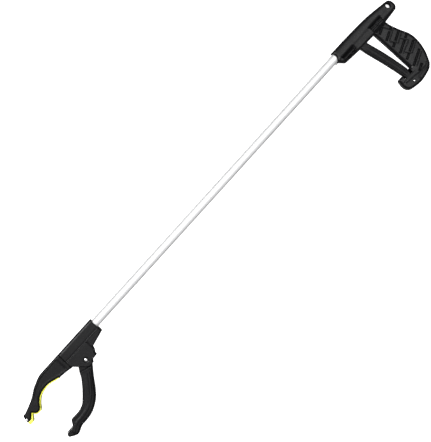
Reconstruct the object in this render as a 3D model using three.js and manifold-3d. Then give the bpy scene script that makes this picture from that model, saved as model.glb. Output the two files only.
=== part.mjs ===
// Reacher grabber: a long aluminium tube with a pistol handle at one end and a pair of jaws at the other.
// Squeezing the trigger pulls a steel rod through the tube, and the rod swings the moving jaw shut.
//
// Millimetres. The tool lies flat on its right side: +X runs along the tube towards the handle,
// the grip and the moving jaw lie towards -Y, and +Z is the direction of its thickness.
// Every piece is drawn about the tube's axis, with X = 0 at the middle of the overall length.
import * as THREE from "three";
import Module from "manifold-3d";
import { mergeVertices } from "three/addons/utils/BufferGeometryUtils.js";

const wasm = await Module();
wasm.setup();

// Overall size
const TIP_X = -406.5;
const NOSE_X = 406.5;
const TOP_Y = 9.3;
const BOTTOM_Y = -116;
const HALF_THICKNESS = 14;

// Clearances
const SEAM = 0.3;
const RUNNING = 0.15;

// Tube and its plugs
const TUBE_R = 6.35;
const TUBE_BORE_R = 5.35;
const TUBE_HEAD_END = -253;
const TUBE_HANDLE_END = 318;
const SOCKET_R = TUBE_R + SEAM;
const PLUG_R = TUBE_BORE_R - SEAM;
const PLUG_LENGTH = 14;
const FLANGE_R = 6.2;
const FLANGE_THICKNESS = 1.6;

// Pull rod and the barrels that the levers push on
const ROD_R = 1.2;
const ROD_HOLE_R = ROD_R + SEAM;
const BARREL_R = 3;
const BARREL_HALF = 6.5;
const BUTTON_R = 2;
const BUTTON_THICKNESS = 1.2;

// Handle
const MOUTH_X = 289.5;
const HOUSING_HALF = 12;
const GRIP_FRONT_X = 353.1;
const GRIP_TOP_Y = -17.8;
const POCKET_HALF = 9.3;
const TRIGGER_HALF = 8.3;
const TRIGGER_PIVOT = [342.7, -107.8];
const TRIGGER_PIN_R = 1.6;
const PIN_SINK = 0.3;
const PIN_CHAMFER = 0.3;
const TRIGGER_FACE_X = 330;
const HANGING_HOLE = [398, -5.5];
const HANGING_HOLE_R = 3.7;
const HANDLE_SCREWS = [[300.5, -11.8], [385.5, -9], [366.5, -27], [380, -66], [365, -103]];
const HANDLE_TUBE_SCREW_X = 309;
const HOUSING_CHAMFER = 1.2;
const GRIP_CHAMFER = 1.6;
const TRIGGER_CHAMFER = 1;
const TRIGGER_SLOT_Y = -3.2;
const LIP = [283.5, 292, -7.9, -6.7];
const LIP_HALF = 3.5;
// The pocket above the trigger and the opening under it, as [x0, x1, y0, y1].
const LINK_POCKET = [TUBE_HANDLE_END + 0.8, 356, -16.6, 5.2];
const TRIGGER_OPENING = [321.6, 352.7, -30, -16.5];
const FOOT_NOTCH = [334.8, 350.6, -97, -80];
// Hollows that keep the grip's walls even, and the foot's pocket for the trigger.
const UPPER_HOLLOW = [[357, -34], [357, -58], [384, -58], [378.5, -38], [377, -34]];
const LOWER_HOLLOW = [[357, -73.5], [357, -94], [378, -94], [385, -80], [385.6, -73.5]];
const HOLLOW_HALF = POCKET_HALF + 2;
const FOOT_POCKET = [[334, -85], [335.9, -106], [337.6, -112.7], [348, -112.7], [351.9, -104],
  [351.9, -85]];
// Two shallow panels under the housing's round top, each divided by a thin rib, as [x0, x1, y0, y1].
const RECESS_DEPTH = 1.6;
const RECESSES = [[296.2, 320.6, -10.9, -8], [296.2, 320.6, -15.2, -11.9],
  [354.4, 378.2, -11.7, -8.4], [354.4, 378.2, -16.7, -12.9]];

// The grip's tread: rows of slanted grooves, each broken by a thin rib at the first number of its row
// and ending at the second. The last row has no rib.
const TREAD_SLOPE = THREE.MathUtils.degToRad(23.5);
const TREAD_FIRST_Y = -25.1;
const TREAD_PITCH = 13.45;
const TREAD_START_X = 357.4;
const TREAD_WIDTH = 3.3;
const TREAD_DEPTH = 1.2;
const TREAD_ROWS = [[368.8, 374.4], [372.2, 377.4], [365.1, 382], [377.7, 385.6], [367.6, 385.4],
  [null, 381.5]];
const TREAD_RIB = 1.2;

// Head and jaws
const HEAD_FRONT_X = -303.6;
const HEAD_REAR_X = -233.9;
const SPINE_HALF = 8.5;
const COVER_HALF = 12.4;
const JAW_HALF = 11;
const ROOT_HALF = 8.5;
const JAW_PIVOT = [-280.7, -26.5];
const RIVET_R = 2.5;
const RIVET_HEAD_R = 3;
const RIVET_SEAT_DEPTH = 1.4;
const RIVET_NECK_DEPTH = 1.2;
const RIVET_BORE_R = 1.2;
const RIVET_BORE_DEPTH = 3;
const JAW_SWING = THREE.MathUtils.degToRad(27);
const LEVER_LENGTH = 32;
const LEVER_HALF_WIDTH = 2.2;
const LEVER_ROOT_HALF_WIDTH = 4.8;
const LEVER_HALF_THICKNESS = 6.5;
const ROD_SLOT_HALF = 1.7;
const ROOT_STEP_R = 13.9;
const LINER_THICKNESS = 1.7;
const LINER_HALF = 9.5;
const TIP_MAGNET = [-403.7, -21.6];
const TIP_MAGNET_R = 1.7;
const MAGNET_SINK = 0.2;
const HEAD_SCREWS = [[-300.8, -3], [-250.5, -14.2], [-239.5, -11.2]];
const HEAD_TUBE_SCREW_X = -245;
const JAW_CHAMFER = 1.2;
const EAR_CHAMFER = 0.8;
const EAR_R = 10.4;
const HUB_R = 8;
const COVER_PANEL = [-259.4, -235.6, -13.6, -8.2];
const COVER_PANEL_HALF = 10.8;
// The head's middle frame, and the window in it for the jaw's root and the spring.
const SPINE = [[-306, TOP_Y], [HEAD_REAR_X, TOP_Y], [HEAD_REAR_X, -14.3], [-256, -19.4], [-256, -7.4],
  [-270, -7.4], [-270, -6], [-297.9, -6], [-297.9, -19.4], [-302, -19.4], [-306, -17]];
const WINDOW = [-298.2, TUBE_HEAD_END - 2.2, -60, 6.6];

// Return spring, between the jaw lever and the tube
const SPRING_R = 3.1;
const SPRING_WIRE_R = 0.45;
const SPRING_TURNS = 8;
const SPRING_STEPS_PER_TURN = 12;
const SPRING_WASHER_X = -283.5;
const SPRING_WASHER_THICKNESS = 0.8;
const SPRING_WASHER_R = 4.2;

// Screws
const SCREW_R = 1.25;
const SCREW_HEAD_R = 2.6;
const SCREW_HEAD_THICKNESS = 1.8;
const DRIVE_HALF_LENGTH = 1.7;
const DRIVE_HALF_WIDTH = 0.35;
const DRIVE_DEPTH = 0.9;
const SCREW_LENGTH = 18;
const HEAD_SCREW_LENGTH = 22;
const TUBE_SCREW_LENGTH = 9.2;
const TUBE_SCREW_WAY = 12;
const SCREW_SINK = 0.6;
const TUBE_SCREW_SINK = 0.4;

// Longer than any cut is deep
const FAR = 60;

const blackPlastic = { color: 0x222225, roughness: 0.45, metalness: 0 };
const darkPlastic = { color: 0x17171a, roughness: 0.5, metalness: 0 };
const anodised = { color: 0xe3e4e6, roughness: 0.32, metalness: 0.9 };
const steel = { color: 0xc9cacc, roughness: 0.3, metalness: 1 };
const yellowRubber = { color: 0xe8e23c, roughness: 0.7, metalness: 0 };
const blackRubber = { color: 0x1b1b1b, roughness: 0.85, metalness: 0 };
const nylon = { color: 0xd9d6cc, roughness: 0.6, metalness: 0 };

const grabber = new THREE.Group();
grabber.name = "reacher_grabber";
grabber.position.set(0, -(TOP_Y + BOTTOM_Y) / 2, HALF_THICKNESS);

// ---- Solids ----------------------------------------------------------------------------------

function solid(geometry) {
  geometry.deleteAttribute("normal");
  geometry.deleteAttribute("uv");
  const merged = mergeVertices(geometry, 1e-4);
  const vertProperties = new Float32Array(merged.attributes.position.array);
  const triVerts = new Uint32Array(merged.index.array);
  return new wasm.Manifold(new wasm.Mesh({ numProp: 3, vertProperties, triVerts }));
}

function addPart(name, body, finish) {
  const mesh = body.getMesh();
  const geometry = new THREE.BufferGeometry();
  geometry.setAttribute("position", new THREE.BufferAttribute(new Float32Array(mesh.vertProperties), 3));
  geometry.setIndex(new THREE.BufferAttribute(new Uint32Array(mesh.triVerts), 1));
  geometry.computeVertexNormals();
  const part = new THREE.Mesh(geometry, new THREE.MeshStandardMaterial(finish));
  part.name = name;
  grabber.add(part);
}

// A flat plate with the given outline, centred on Z = 0, with its edges chamfered on both faces.
function plate(outline, half, chamfer = 0, curveSegments = 4) {
  const geometry = new THREE.ExtrudeGeometry(outline, {
    depth: 2 * (half - chamfer),
    curveSegments,
    bevelEnabled: chamfer > 0,
    bevelThickness: chamfer,
    bevelSize: chamfer,
    bevelOffset: -chamfer,
    bevelSegments: 1,
  });
  geometry.translate(0, 0, chamfer - half);
  return solid(geometry);
}

function block(x0, x1, y0, y1, z0, z1) {
  const geometry = new THREE.BoxGeometry(x1 - x0, y1 - y0, z1 - z0);
  geometry.translate((x0 + x1) / 2, (y0 + y1) / 2, (z0 + z1) / 2);
  return solid(geometry);
}

function roundAlongZ([x, y], radius, z0, z1, sides = 16) {
  const geometry = new THREE.CylinderGeometry(radius, radius, z1 - z0, sides);
  geometry.rotateX(Math.PI / 2);
  geometry.translate(x, y, (z0 + z1) / 2);
  return solid(geometry);
}

// A turned piece: the profile is a list of [radius, distance along the axis].
function turned(profile, sides = 24) {
  return new THREE.LatheGeometry(profile.map(([r, h]) => new THREE.Vector2(r, h)), sides);
}

function turnedAlongX(profile, sides) {
  return solid(turned(profile, sides).rotateZ(-Math.PI / 2));
}

function turnedAlongZ(profile, [x, y], sides) {
  return solid(turned(profile, sides).rotateX(Math.PI / 2).translate(x, y, 0));
}

function roundAlongX(radius, x0, x1, sides = 24) {
  return turnedAlongX([[0, x0], [radius, x0], [radius, x1], [0, x1]], sides);
}

function tubeAlongX(outer, inner, x0, x1, sides = 24) {
  return turnedAlongX([[inner, x0], [outer, x0], [outer, x1], [inner, x1], [inner, x0]], sides);
}

// Keeps what lies beyond `inner` on one side of the middle plane: side is +1 (left) or -1 (right).
function sideOf(body, side, inner) {
  const [z0, z1] = side > 0 ? [inner, FAR] : [-FAR, -inner];
  return body.intersect(block(-2 * NOSE_X, 2 * NOSE_X, -3 * FAR, FAR, z0, z1));
}

function spanOnSide(side, inner, outer) {
  return side > 0 ? [inner, outer] : [-outer, -inner];
}

function cut(body, ...tools) {
  return tools.reduce((rest, tool) => rest.subtract(tool), body);
}

function join(body, ...more) {
  return more.reduce((whole, piece) => whole.add(piece), body);
}

// ---- Outlines --------------------------------------------------------------------------------

function polygon(points) {
  return new THREE.Shape(points.map(([x, y]) => new THREE.Vector2(x, y)));
}

function splineTo(shape, points) {
  shape.splineThru(points.map(([x, y]) => new THREE.Vector2(x, y)));
}

function lineTo(shape, points) {
  points.forEach(([x, y]) => shape.lineTo(x, y));
}

const GRIP_REAR = [[384.4, -93], [388.6, -79], [389.9, -66], [388.4, -54.5], [383.6, -42], [378.9, -28]];
const FIXED_JAW_BACK = [[-346.8, 8.3], [-356.2, 5], [-364.2, 1.8], [-373.4, -3.7], [-381.5, -7.6]];
const LINER_FACE = [[-373.4, -20.2], [-366.8, -14.9], [-360.1, -12], [-349.6, -10.7], [-340.2, -11.6],
  [-333.6, -13.6], [-326.9, -15.7]];

function raised(points, dy) {
  return points.map(([x, y]) => [x, y + dy]);
}

function housingOutline() {
  const s = new THREE.Shape();
  s.moveTo(MOUTH_X, 8.9);
  splineTo(s, [[327, 8.3], [365, 6.3], [400.5, 0.9]]);
  splineTo(s, [[404.6, -1.6], [NOSE_X, -8], [405.4, -13.6], [402, -17.2]]);
  lineTo(s, [[380, -18.9], [GRIP_FRONT_X, -19.6], [320.8, -18.5], [295.2, -16.2]]);
  lineTo(s, [[287.4, -6.9], [290.8, -2.2]]);
  s.quadraticCurveTo(292.8, 3.6, MOUTH_X, 8.9);
  return s;
}

function gripOutline() {
  const s = new THREE.Shape();
  s.moveTo(GRIP_FRONT_X, GRIP_TOP_Y);
  lineTo(s, [[GRIP_FRONT_X, -90.2], [329.2, -90.2]]);
  s.quadraticCurveTo(326.6, -90.2, 326.2, -92.8);
  lineTo(s, [[324.9, -99.3], [324.9, -103.4]]);
  s.quadraticCurveTo(325.8, -112, 334, -113.8);
  s.quadraticCurveTo(343, BOTTOM_Y, 352, BOTTOM_Y);
  splineTo(s, [[362, -114.2], [370.6, -111.8], [377.4, -106.4]]);
  splineTo(s, GRIP_REAR);
  s.lineTo(377.4, GRIP_TOP_Y);
  return s;
}

function triggerOutline() {
  const [px, py] = TRIGGER_PIVOT;
  const s = new THREE.Shape();
  s.moveTo(324.4, -19.3);
  splineTo(s, [[326.5, -33.5], [331.2, -56.5], [335.6, -82.5], [338.5, -106.4]]);
  s.absarc(px, py, 4.3, Math.PI * 0.93, Math.PI * 2.12, false);
  splineTo(s, [[348.9, -89.8], [347.4, -73.2], [344.3, -52.2], [341.1, -35.6], [337.7, -20.9]]);
  lineTo(s, [[337.2, -4.6], [TRIGGER_FACE_X, -4.6], [TRIGGER_FACE_X, 3.4], [325.4, 3.4]]);
  return s;
}

function fixedJawOutline() {
  const s = new THREE.Shape();
  s.moveTo(HEAD_FRONT_X - SEAM, TOP_Y);
  s.lineTo(-338.9, TOP_Y);
  splineTo(s, FIXED_JAW_BACK);
  lineTo(s, [[-393.5, -11.6], [-400.2, -13.6], [-403.2, -13.1], [-404.9, -17.6], [TIP_X, -25.6]]);
  lineTo(s, [[-398.6, -25.2], [-391.6, -19.2], [-388.2, -23.9]]);
  s.quadraticCurveTo(-382.8, -27.6, -378, -23.9);
  splineTo(s, raised(LINER_FACE, LINER_THICKNESS));
  lineTo(s, [[-326.4, -15.2], [-320.3, -15.9], [-312.3, -17], [HEAD_FRONT_X - SEAM, -18.8]]);
  return s;
}

function linerOutline() {
  const back = raised(LINER_FACE, LINER_THICKNESS - SEAM).reverse();
  const s = new THREE.Shape();
  s.moveTo(-391.4, -20.9);
  s.lineTo(-388.6, -25.7);
  s.quadraticCurveTo(-382.8, -29.4, -377.9, -25.5);
  splineTo(s, LINER_FACE);
  s.lineTo(back[0][0], back[0][1]);
  splineTo(s, back.slice(1));
  s.lineTo(-377.8, -24.3);
  s.quadraticCurveTo(-382.8, -28, -388.3, -24.3);
  lineTo(s, [[-391.6, -19.7], [-398.5, -25.5], [-405.8, -25.9], [-405.3, -30.2], [-400.1, -29.9]]);
  s.quadraticCurveTo(-398, -29.4, -396.1, -26.2);
  return s;
}

function movingJawOutline() {
  const s = new THREE.Shape();
  s.moveTo(-279.2, -36);
  s.lineTo(-288.4, -46.2);
  splineTo(s, [[-293.7, -52.4], [-304.4, -65.4], [-314.9, -75.4], [-328.2, -82.8],
    [-340.2, -85.9], [-354.9, -86.2]]);
  splineTo(s, [[-361.4, -88.1], [-368.2, -90.8], [-374.6, -88.2]]);
  lineTo(s, [[-380.7, -84.1], [-380.7, -80.2], [-379, -79]]);
  lineTo(s, [[-366.4, -78.4], [-361.8, -71.6], [-359.4, -68.9]]);
  splineTo(s, [[-346.8, -69], [-337.6, -67.4], [-330.9, -64.1], [-320.3, -54.9], [-311, -45.5],
    [-304.4, -37.6]]);
  lineTo(s, [[-301.2, -31], [-295, -32.8], [-290, -35]]);
  return s;
}

function coverOutline() {
  const [px, py] = JAW_PIVOT;
  const base = polygon([[HEAD_FRONT_X, TOP_Y], [HEAD_REAR_X, TOP_Y], [HEAD_REAR_X, -14.3], [-259, -20],
    [-275, -20], [HEAD_FRONT_X, -13.6]]);
  const ear = new THREE.Shape();
  ear.moveTo(HEAD_FRONT_X, -8);
  lineTo(ear, [[HEAD_FRONT_X, -15.6], [-294.4, -26.8]]);
  ear.absarc(px, py, EAR_R, Math.PI * 1.16, Math.PI * 1.6, false);
  lineTo(ear, [[-275, -32.9], [-265.8, -32.4], [-265, -28.2], [-261.8, -24.3], [-260.5, -20.2]]);
  ear.lineTo(-260.5, -10.5);
  ear.quadraticCurveTo(-260.5, -8, -263, -8);
  return { base, ear };
}

// ---- Tube, plugs and pull rod ----------------------------------------------------------------

function tubeScrewHole(x, outer) {
  return roundAlongZ([x, 0], SCREW_R + SEAM, -outer, 0);
}

function makeTube() {
  const tube = tubeAlongX(TUBE_R, TUBE_BORE_R, TUBE_HEAD_END, TUBE_HANDLE_END, 40);
  const holes = [HEAD_TUBE_SCREW_X, HANDLE_TUBE_SCREW_X].map((x) => tubeScrewHole(x, FAR));
  addPart("outer_tube", cut(tube, ...holes), anodised);
}

// A plug closes each tube end and guides the rod. `out` is -1 at the head end and +1 at the handle end.
function makePlug(name, tubeEnd, out, screwX) {
  const face = tubeEnd + out * SEAM;
  const flange = face + out * FLANGE_THICKNESS;
  const inner = face - out * PLUG_LENGTH;
  const profile = [[ROD_HOLE_R, inner], [PLUG_R, inner], [PLUG_R, face], [FLANGE_R, face],
    [FLANGE_R, flange], [ROD_HOLE_R, flange], [ROD_HOLE_R, inner]];
  const plug = turnedAlongX(out > 0 ? profile : profile.reverse(), 16);
  addPart(name, cut(plug, tubeScrewHole(screwX, FAR)), nylon);
}

// The jaw's lever leans forward by half its swing at rest, and the barrel lies against its front face.
const HEAD_BARREL_X = JAW_PIVOT[0] + JAW_PIVOT[1] * Math.tan(JAW_SWING / 2)
  - (LEVER_HALF_WIDTH + BARREL_R + SEAM) / Math.cos(JAW_SWING / 2);
const HANDLE_BARREL_X = TRIGGER_FACE_X + BARREL_R + SEAM;

function makeRod() {
  const x0 = HEAD_BARREL_X - BARREL_R - SEAM;
  const x1 = HANDLE_BARREL_X + BARREL_R + SEAM;
  const rod = [[0, x0 - BUTTON_THICKNESS], [BUTTON_R, x0 - BUTTON_THICKNESS], [BUTTON_R, x0], [ROD_R, x0],
    [ROD_R, x1], [BUTTON_R, x1], [BUTTON_R, x1 + BUTTON_THICKNESS], [0, x1 + BUTTON_THICKNESS]];
  addPart("pull_rod", turnedAlongX(rod, 16), steel);
  for (const [name, x] of [["rod_barrel_head", HEAD_BARREL_X], ["rod_barrel_handle", HANDLE_BARREL_X]]) {
    const barrel = roundAlongZ([x, 0], BARREL_R, -BARREL_HALF, BARREL_HALF, 20);
    addPart(name, cut(barrel, roundAlongX(ROD_HOLE_R, x - FAR, x + FAR, 16)), steel);
  }
}

class Helix extends THREE.Curve {
  constructor(radius, turns, x0, x1) {
    super();
    Object.assign(this, { radius, turns, x0, x1 });
  }

  getPoint(t, target = new THREE.Vector3()) {
    const angle = 2 * Math.PI * this.turns * t;
    const x = this.x0 + (this.x1 - this.x0) * t;
    return target.set(x, this.radius * Math.cos(angle), this.radius * Math.sin(angle));
  }
}

function makeSpring() {
  const washerEnd = SPRING_WASHER_X + SPRING_WASHER_THICKNESS;
  const x0 = washerEnd + SEAM + SPRING_WIRE_R;
  const x1 = TUBE_HEAD_END - SEAM - FLANGE_THICKNESS - SEAM - SPRING_WIRE_R;
  const wire = new THREE.Shape().absarc(0, 0, SPRING_WIRE_R, 0, 2 * Math.PI, false);
  const coil = new THREE.ExtrudeGeometry(wire, {
    extrudePath: new Helix(SPRING_R, SPRING_TURNS, x0, x1),
    steps: SPRING_TURNS * SPRING_STEPS_PER_TURN,
    curveSegments: 3,
  });
  addPart("return_spring", solid(coil), steel);
  addPart("spring_washer", tubeAlongX(SPRING_WASHER_R, ROD_HOLE_R, SPRING_WASHER_X, washerEnd, 16), steel);
}

// ---- Screws ----------------------------------------------------------------------------------

// A pan-head screw driven in from the right side, with its head's top at z = -face.
function makeScrew(name, at, face, length) {
  const neck = -face + SCREW_HEAD_THICKNESS;
  const end = -face + length;
  const body = turnedAlongZ([[0, -face], [SCREW_HEAD_R - 0.7, -face], [SCREW_HEAD_R, -face + 0.5],
    [SCREW_HEAD_R, neck], [SCREW_R, neck], [SCREW_R, end - 0.8], [0, end]], at, 14);
  const [long, short] = [DRIVE_HALF_LENGTH, DRIVE_HALF_WIDTH];
  const slots = [[long, short], [short, long]].map(([a, b]) =>
    block(at[0] - a, at[0] + a, at[1] - b, at[1] + b, -face - 1, -face + DRIVE_DEPTH));
  addPart(name, cut(body, ...slots), steel);
}

function screwWay(at, face, depth) {
  return join(
    roundAlongZ(at, SCREW_R + SEAM, -FAR, -face + depth),
    roundAlongZ(at, SCREW_HEAD_R + SEAM, -FAR, -face + SCREW_HEAD_THICKNESS + SEAM),
  );
}

function tubeScrewWay(x, half) {
  return screwWay([x, 0], half - TUBE_SCREW_SINK, TUBE_SCREW_WAY);
}

// ---- Handle ----------------------------------------------------------------------------------

function treadGroove(x0, x1, y0, side) {
  const length = (x1 - x0) / Math.cos(TREAD_SLOPE);
  const geometry = new THREE.BoxGeometry(length, TREAD_WIDTH, 2 * TREAD_DEPTH);
  geometry.translate(length / 2, 0, 0);
  geometry.rotateZ(TREAD_SLOPE);
  geometry.translate(x0, y0 + (x0 - TREAD_START_X) * Math.tan(TREAD_SLOPE), side * HALF_THICKNESS);
  return solid(geometry);
}

function treadGrooves(side) {
  return TREAD_ROWS.flatMap(([breakX, endX], row) => {
    const y = TREAD_FIRST_Y - row * TREAD_PITCH;
    if (breakX === null) return [treadGroove(TREAD_START_X, endX, y, side)];
    return [
      treadGroove(TREAD_START_X, breakX - TREAD_RIB, y, side),
      treadGroove(breakX + TREAD_RIB, endX, y, side),
    ];
  });
}

function handleBody() {
  const housing = plate(housingOutline(), HOUSING_HALF, HOUSING_CHAMFER);
  const grip = plate(gripOutline(), HALF_THICKNESS, GRIP_CHAMFER);
  return join(housing, grip, block(...LIP, -LIP_HALF, LIP_HALF));
}

function handleHollows() {
  return [
    roundAlongX(SOCKET_R, MOUTH_X - FAR, TUBE_HANDLE_END + 2 * SEAM + FLANGE_THICKNESS, 40),
    block(...LINK_POCKET, -POCKET_HALF, POCKET_HALF),
    block(...TRIGGER_OPENING, -POCKET_HALF, POCKET_HALF),
    plate(polygon(UPPER_HOLLOW), HOLLOW_HALF),
    plate(polygon(LOWER_HOLLOW), HOLLOW_HALF),
    plate(polygon(FOOT_POCKET), POCKET_HALF),
    block(...FOOT_NOTCH, -FAR, FAR),
    roundAlongZ(TRIGGER_PIVOT, TRIGGER_PIN_R + RUNNING, -FAR, FAR),
    roundAlongZ(HANGING_HOLE, HANGING_HOLE_R, -FAR, FAR, 28),
  ];
}

// Screws in the thick grip start lower than those in the housing.
function handleFaceAt([, y]) {
  return (y < GRIP_TOP_Y ? HALF_THICKNESS : HOUSING_HALF) - SCREW_SINK;
}

function makeHandleShell(name, side) {
  const half = sideOf(handleBody(), side, SEAM / 2);
  const [z0, z1] = spanOnSide(side, HOUSING_HALF - RECESS_DEPTH, FAR);
  const recesses = RECESSES.map((panel) => block(...panel, z0, z1));
  const ways = HANDLE_SCREWS.map((at) => screwWay(at, handleFaceAt(at), SCREW_LENGTH + 1));
  const tools = [...handleHollows(), ...recesses, ...treadGrooves(side), ...ways];
  if (side < 0) tools.push(tubeScrewWay(HANDLE_TUBE_SCREW_X, HOUSING_HALF));
  addPart(name, cut(half, ...tools), blackPlastic);
}

function makeTrigger() {
  const bar = plate(triggerOutline(), TRIGGER_HALF, TRIGGER_CHAMFER);
  const [slotX0, slotX1] = [TRIGGER_FACE_X - 10, TRIGGER_FACE_X + 4];
  const rodSlot = block(slotX0, slotX1, TRIGGER_SLOT_Y, 10, -ROD_SLOT_HALF, ROD_SLOT_HALF);
  const pinHole = roundAlongZ(TRIGGER_PIVOT, TRIGGER_PIN_R + RUNNING, -FAR, FAR);
  addPart("trigger", cut(bar, rodSlot, pinHole), darkPlastic);
  const end = HALF_THICKNESS - PIN_SINK;
  const tip = TRIGGER_PIN_R - PIN_CHAMFER;
  const shoulder = end - PIN_CHAMFER;
  const pin = [[0, -end], [tip, -end], [TRIGGER_PIN_R, -shoulder], [TRIGGER_PIN_R, shoulder],
    [tip, end], [0, end]];
  addPart("trigger_pivot_pin", turnedAlongZ(pin, TRIGGER_PIVOT, 20), steel);
}

// ---- Head and jaws ---------------------------------------------------------------------------

function makeFixedJaw() {
  const jaw = plate(fixedJawOutline(), JAW_HALF, JAW_CHAMFER);
  const spine = plate(polygon(SPINE), SPINE_HALF);
  const window = block(...WINDOW, -SPINE_HALF - 1, SPINE_HALF + 1);
  const socket = roundAlongX(SOCKET_R, TUBE_HEAD_END - 3, HEAD_REAR_X + 1, 40);
  const magnet = roundAlongZ(TIP_MAGNET, TIP_MAGNET_R + RUNNING, -FAR, FAR, 20);
  const ways = HEAD_SCREWS.map((at) => roundAlongZ(at, SCREW_R + SEAM, -FAR, FAR));
  const body = cut(join(jaw, spine), window, socket, magnet, ...ways, tubeScrewHole(HEAD_TUBE_SCREW_X, FAR));
  addPart("fixed_jaw", body, darkPlastic);
  addPart("fixed_jaw_liner", plate(linerOutline(), LINER_HALF), yellowRubber);
  const end = JAW_HALF - MAGNET_SINK;
  addPart("tip_magnet", roundAlongZ(TIP_MAGNET, TIP_MAGNET_R, -end, end, 20), steel);
}

function rivetHole() {
  const seat = HALF_THICKNESS - RIVET_SEAT_DEPTH;
  return join(
    roundAlongZ(JAW_PIVOT, RIVET_R + RUNNING, -FAR, FAR),
    roundAlongZ(JAW_PIVOT, RIVET_HEAD_R + RUNNING, seat, FAR),
    roundAlongZ(JAW_PIVOT, RIVET_HEAD_R + RUNNING, -FAR, -seat),
  );
}

// The rear screws start in the sunk panel, and the front one in the face.
function headFaceAt([x]) {
  return (x < JAW_PIVOT[0] ? COVER_HALF : COVER_PANEL_HALF + 0.2) - SCREW_SINK;
}

function makeHeadCover(name, side) {
  const { base, ear } = coverOutline();
  const body = join(plate(base, COVER_HALF, JAW_CHAMFER), plate(ear, HALF_THICKNESS, EAR_CHAMFER));
  const half = sideOf(body, side, SPINE_HALF + SEAM);
  const panel = block(...COVER_PANEL, ...spanOnSide(side, COVER_PANEL_HALF, FAR));
  const ways = HEAD_SCREWS.map((at) => screwWay(at, headFaceAt(at), HEAD_SCREW_LENGTH + 3));
  const tools = [panel, rivetHole(), ...ways];
  if (side < 0) tools.push(tubeScrewWay(HEAD_TUBE_SCREW_X, COVER_HALF));
  addPart(name, cut(half, ...tools), blackPlastic);
}

function makeMovingJaw() {
  const step = roundAlongZ(JAW_PIVOT, ROOT_STEP_R, -FAR, FAR, 48);
  const arm = plate(movingJawOutline(), JAW_HALF, JAW_CHAMFER).subtract(step);
  const rootPlate = plate(polygon([[-304.4, -37.6], [-300.6, -31], [-296.4, -25.4], [-287, -19.6],
    [-273.4, -23.6], [-274.4, -31.6], [-283, -40.2], [-290, -48]]), ROOT_HALF);
  const hub = roundAlongZ(JAW_PIVOT, HUB_R, -ROOT_HALF, ROOT_HALF, 32);
  const [px, py] = JAW_PIVOT;
  const [w, root] = [LEVER_HALF_WIDTH, LEVER_ROOT_HALF_WIDTH];
  const leverOutline = polygon([[-root, 0], [root, 0], [w, 14], [w, LEVER_LENGTH],
    [-w, LEVER_LENGTH], [-w, 14]]);
  const lever = plate(leverOutline, LEVER_HALF_THICKNESS)
    .rotate([0, 0, THREE.MathUtils.radToDeg(JAW_SWING / 2)])
    .translate([px, py, 0]);
  const rodSlot = block(px - 20, px + 20, py + 20, py + 40, -ROD_SLOT_HALF, ROD_SLOT_HALF);
  const hole = roundAlongZ(JAW_PIVOT, RIVET_R + RUNNING, -FAR, FAR);
  addPart("moving_jaw", cut(join(arm, rootPlate, hub, lever), rodSlot, hole), darkPlastic);
  const pad = polygon([[-379.6, -78.7], [-378.1, -77.4], [-366.1, -76.8], [-366.8, -78.1]]);
  addPart("moving_jaw_pad", plate(pad, LINER_HALF), blackRubber);
}

function makeJawRivet() {
  const end = HALF_THICKNESS - PIN_SINK;
  const neck = HALF_THICKNESS - RIVET_NECK_DEPTH;
  const bore = end - RIVET_BORE_DEPTH;
  const profile = [[0, -end], [RIVET_HEAD_R, -end], [RIVET_HEAD_R, -neck], [RIVET_R, -neck], [RIVET_R, neck],
    [RIVET_HEAD_R, neck], [RIVET_HEAD_R, end], [RIVET_BORE_R, end], [RIVET_BORE_R, bore], [0, bore]];
  addPart("jaw_pivot_rivet", turnedAlongZ(profile, JAW_PIVOT, 20), steel);
}

// ---- Assembly --------------------------------------------------------------------------------

makeTube();
makePlug("tube_plug_head", TUBE_HEAD_END, -1, HEAD_TUBE_SCREW_X);
makePlug("tube_plug_handle", TUBE_HANDLE_END, 1, HANDLE_TUBE_SCREW_X);
makeRod();
makeSpring();
makeHandleShell("handle_shell_left", 1);
makeHandleShell("handle_shell_right", -1);
makeTrigger();
makeFixedJaw();
makeHeadCover("head_cover_left", 1);
makeHeadCover("head_cover_right", -1);
makeMovingJaw();
makeJawRivet();
HANDLE_SCREWS.forEach((at, i) => makeScrew(`handle_screw_${i + 1}`, at, handleFaceAt(at), SCREW_LENGTH));
HEAD_SCREWS.forEach((at, i) => makeScrew(`head_screw_${i + 1}`, at, headFaceAt(at), HEAD_SCREW_LENGTH));
makeScrew("tube_screw_handle", [HANDLE_TUBE_SCREW_X, 0], HOUSING_HALF - TUBE_SCREW_SINK, TUBE_SCREW_LENGTH);
makeScrew("tube_screw_head", [HEAD_TUBE_SCREW_X, 0], COVER_HALF - TUBE_SCREW_SINK, TUBE_SCREW_LENGTH);

export default grabber;
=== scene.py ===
import math

import bpy
import numpy as np
from mathutils import Matrix, Vector
from mathutils.geometry import delaunay_2d_cdt


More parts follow.
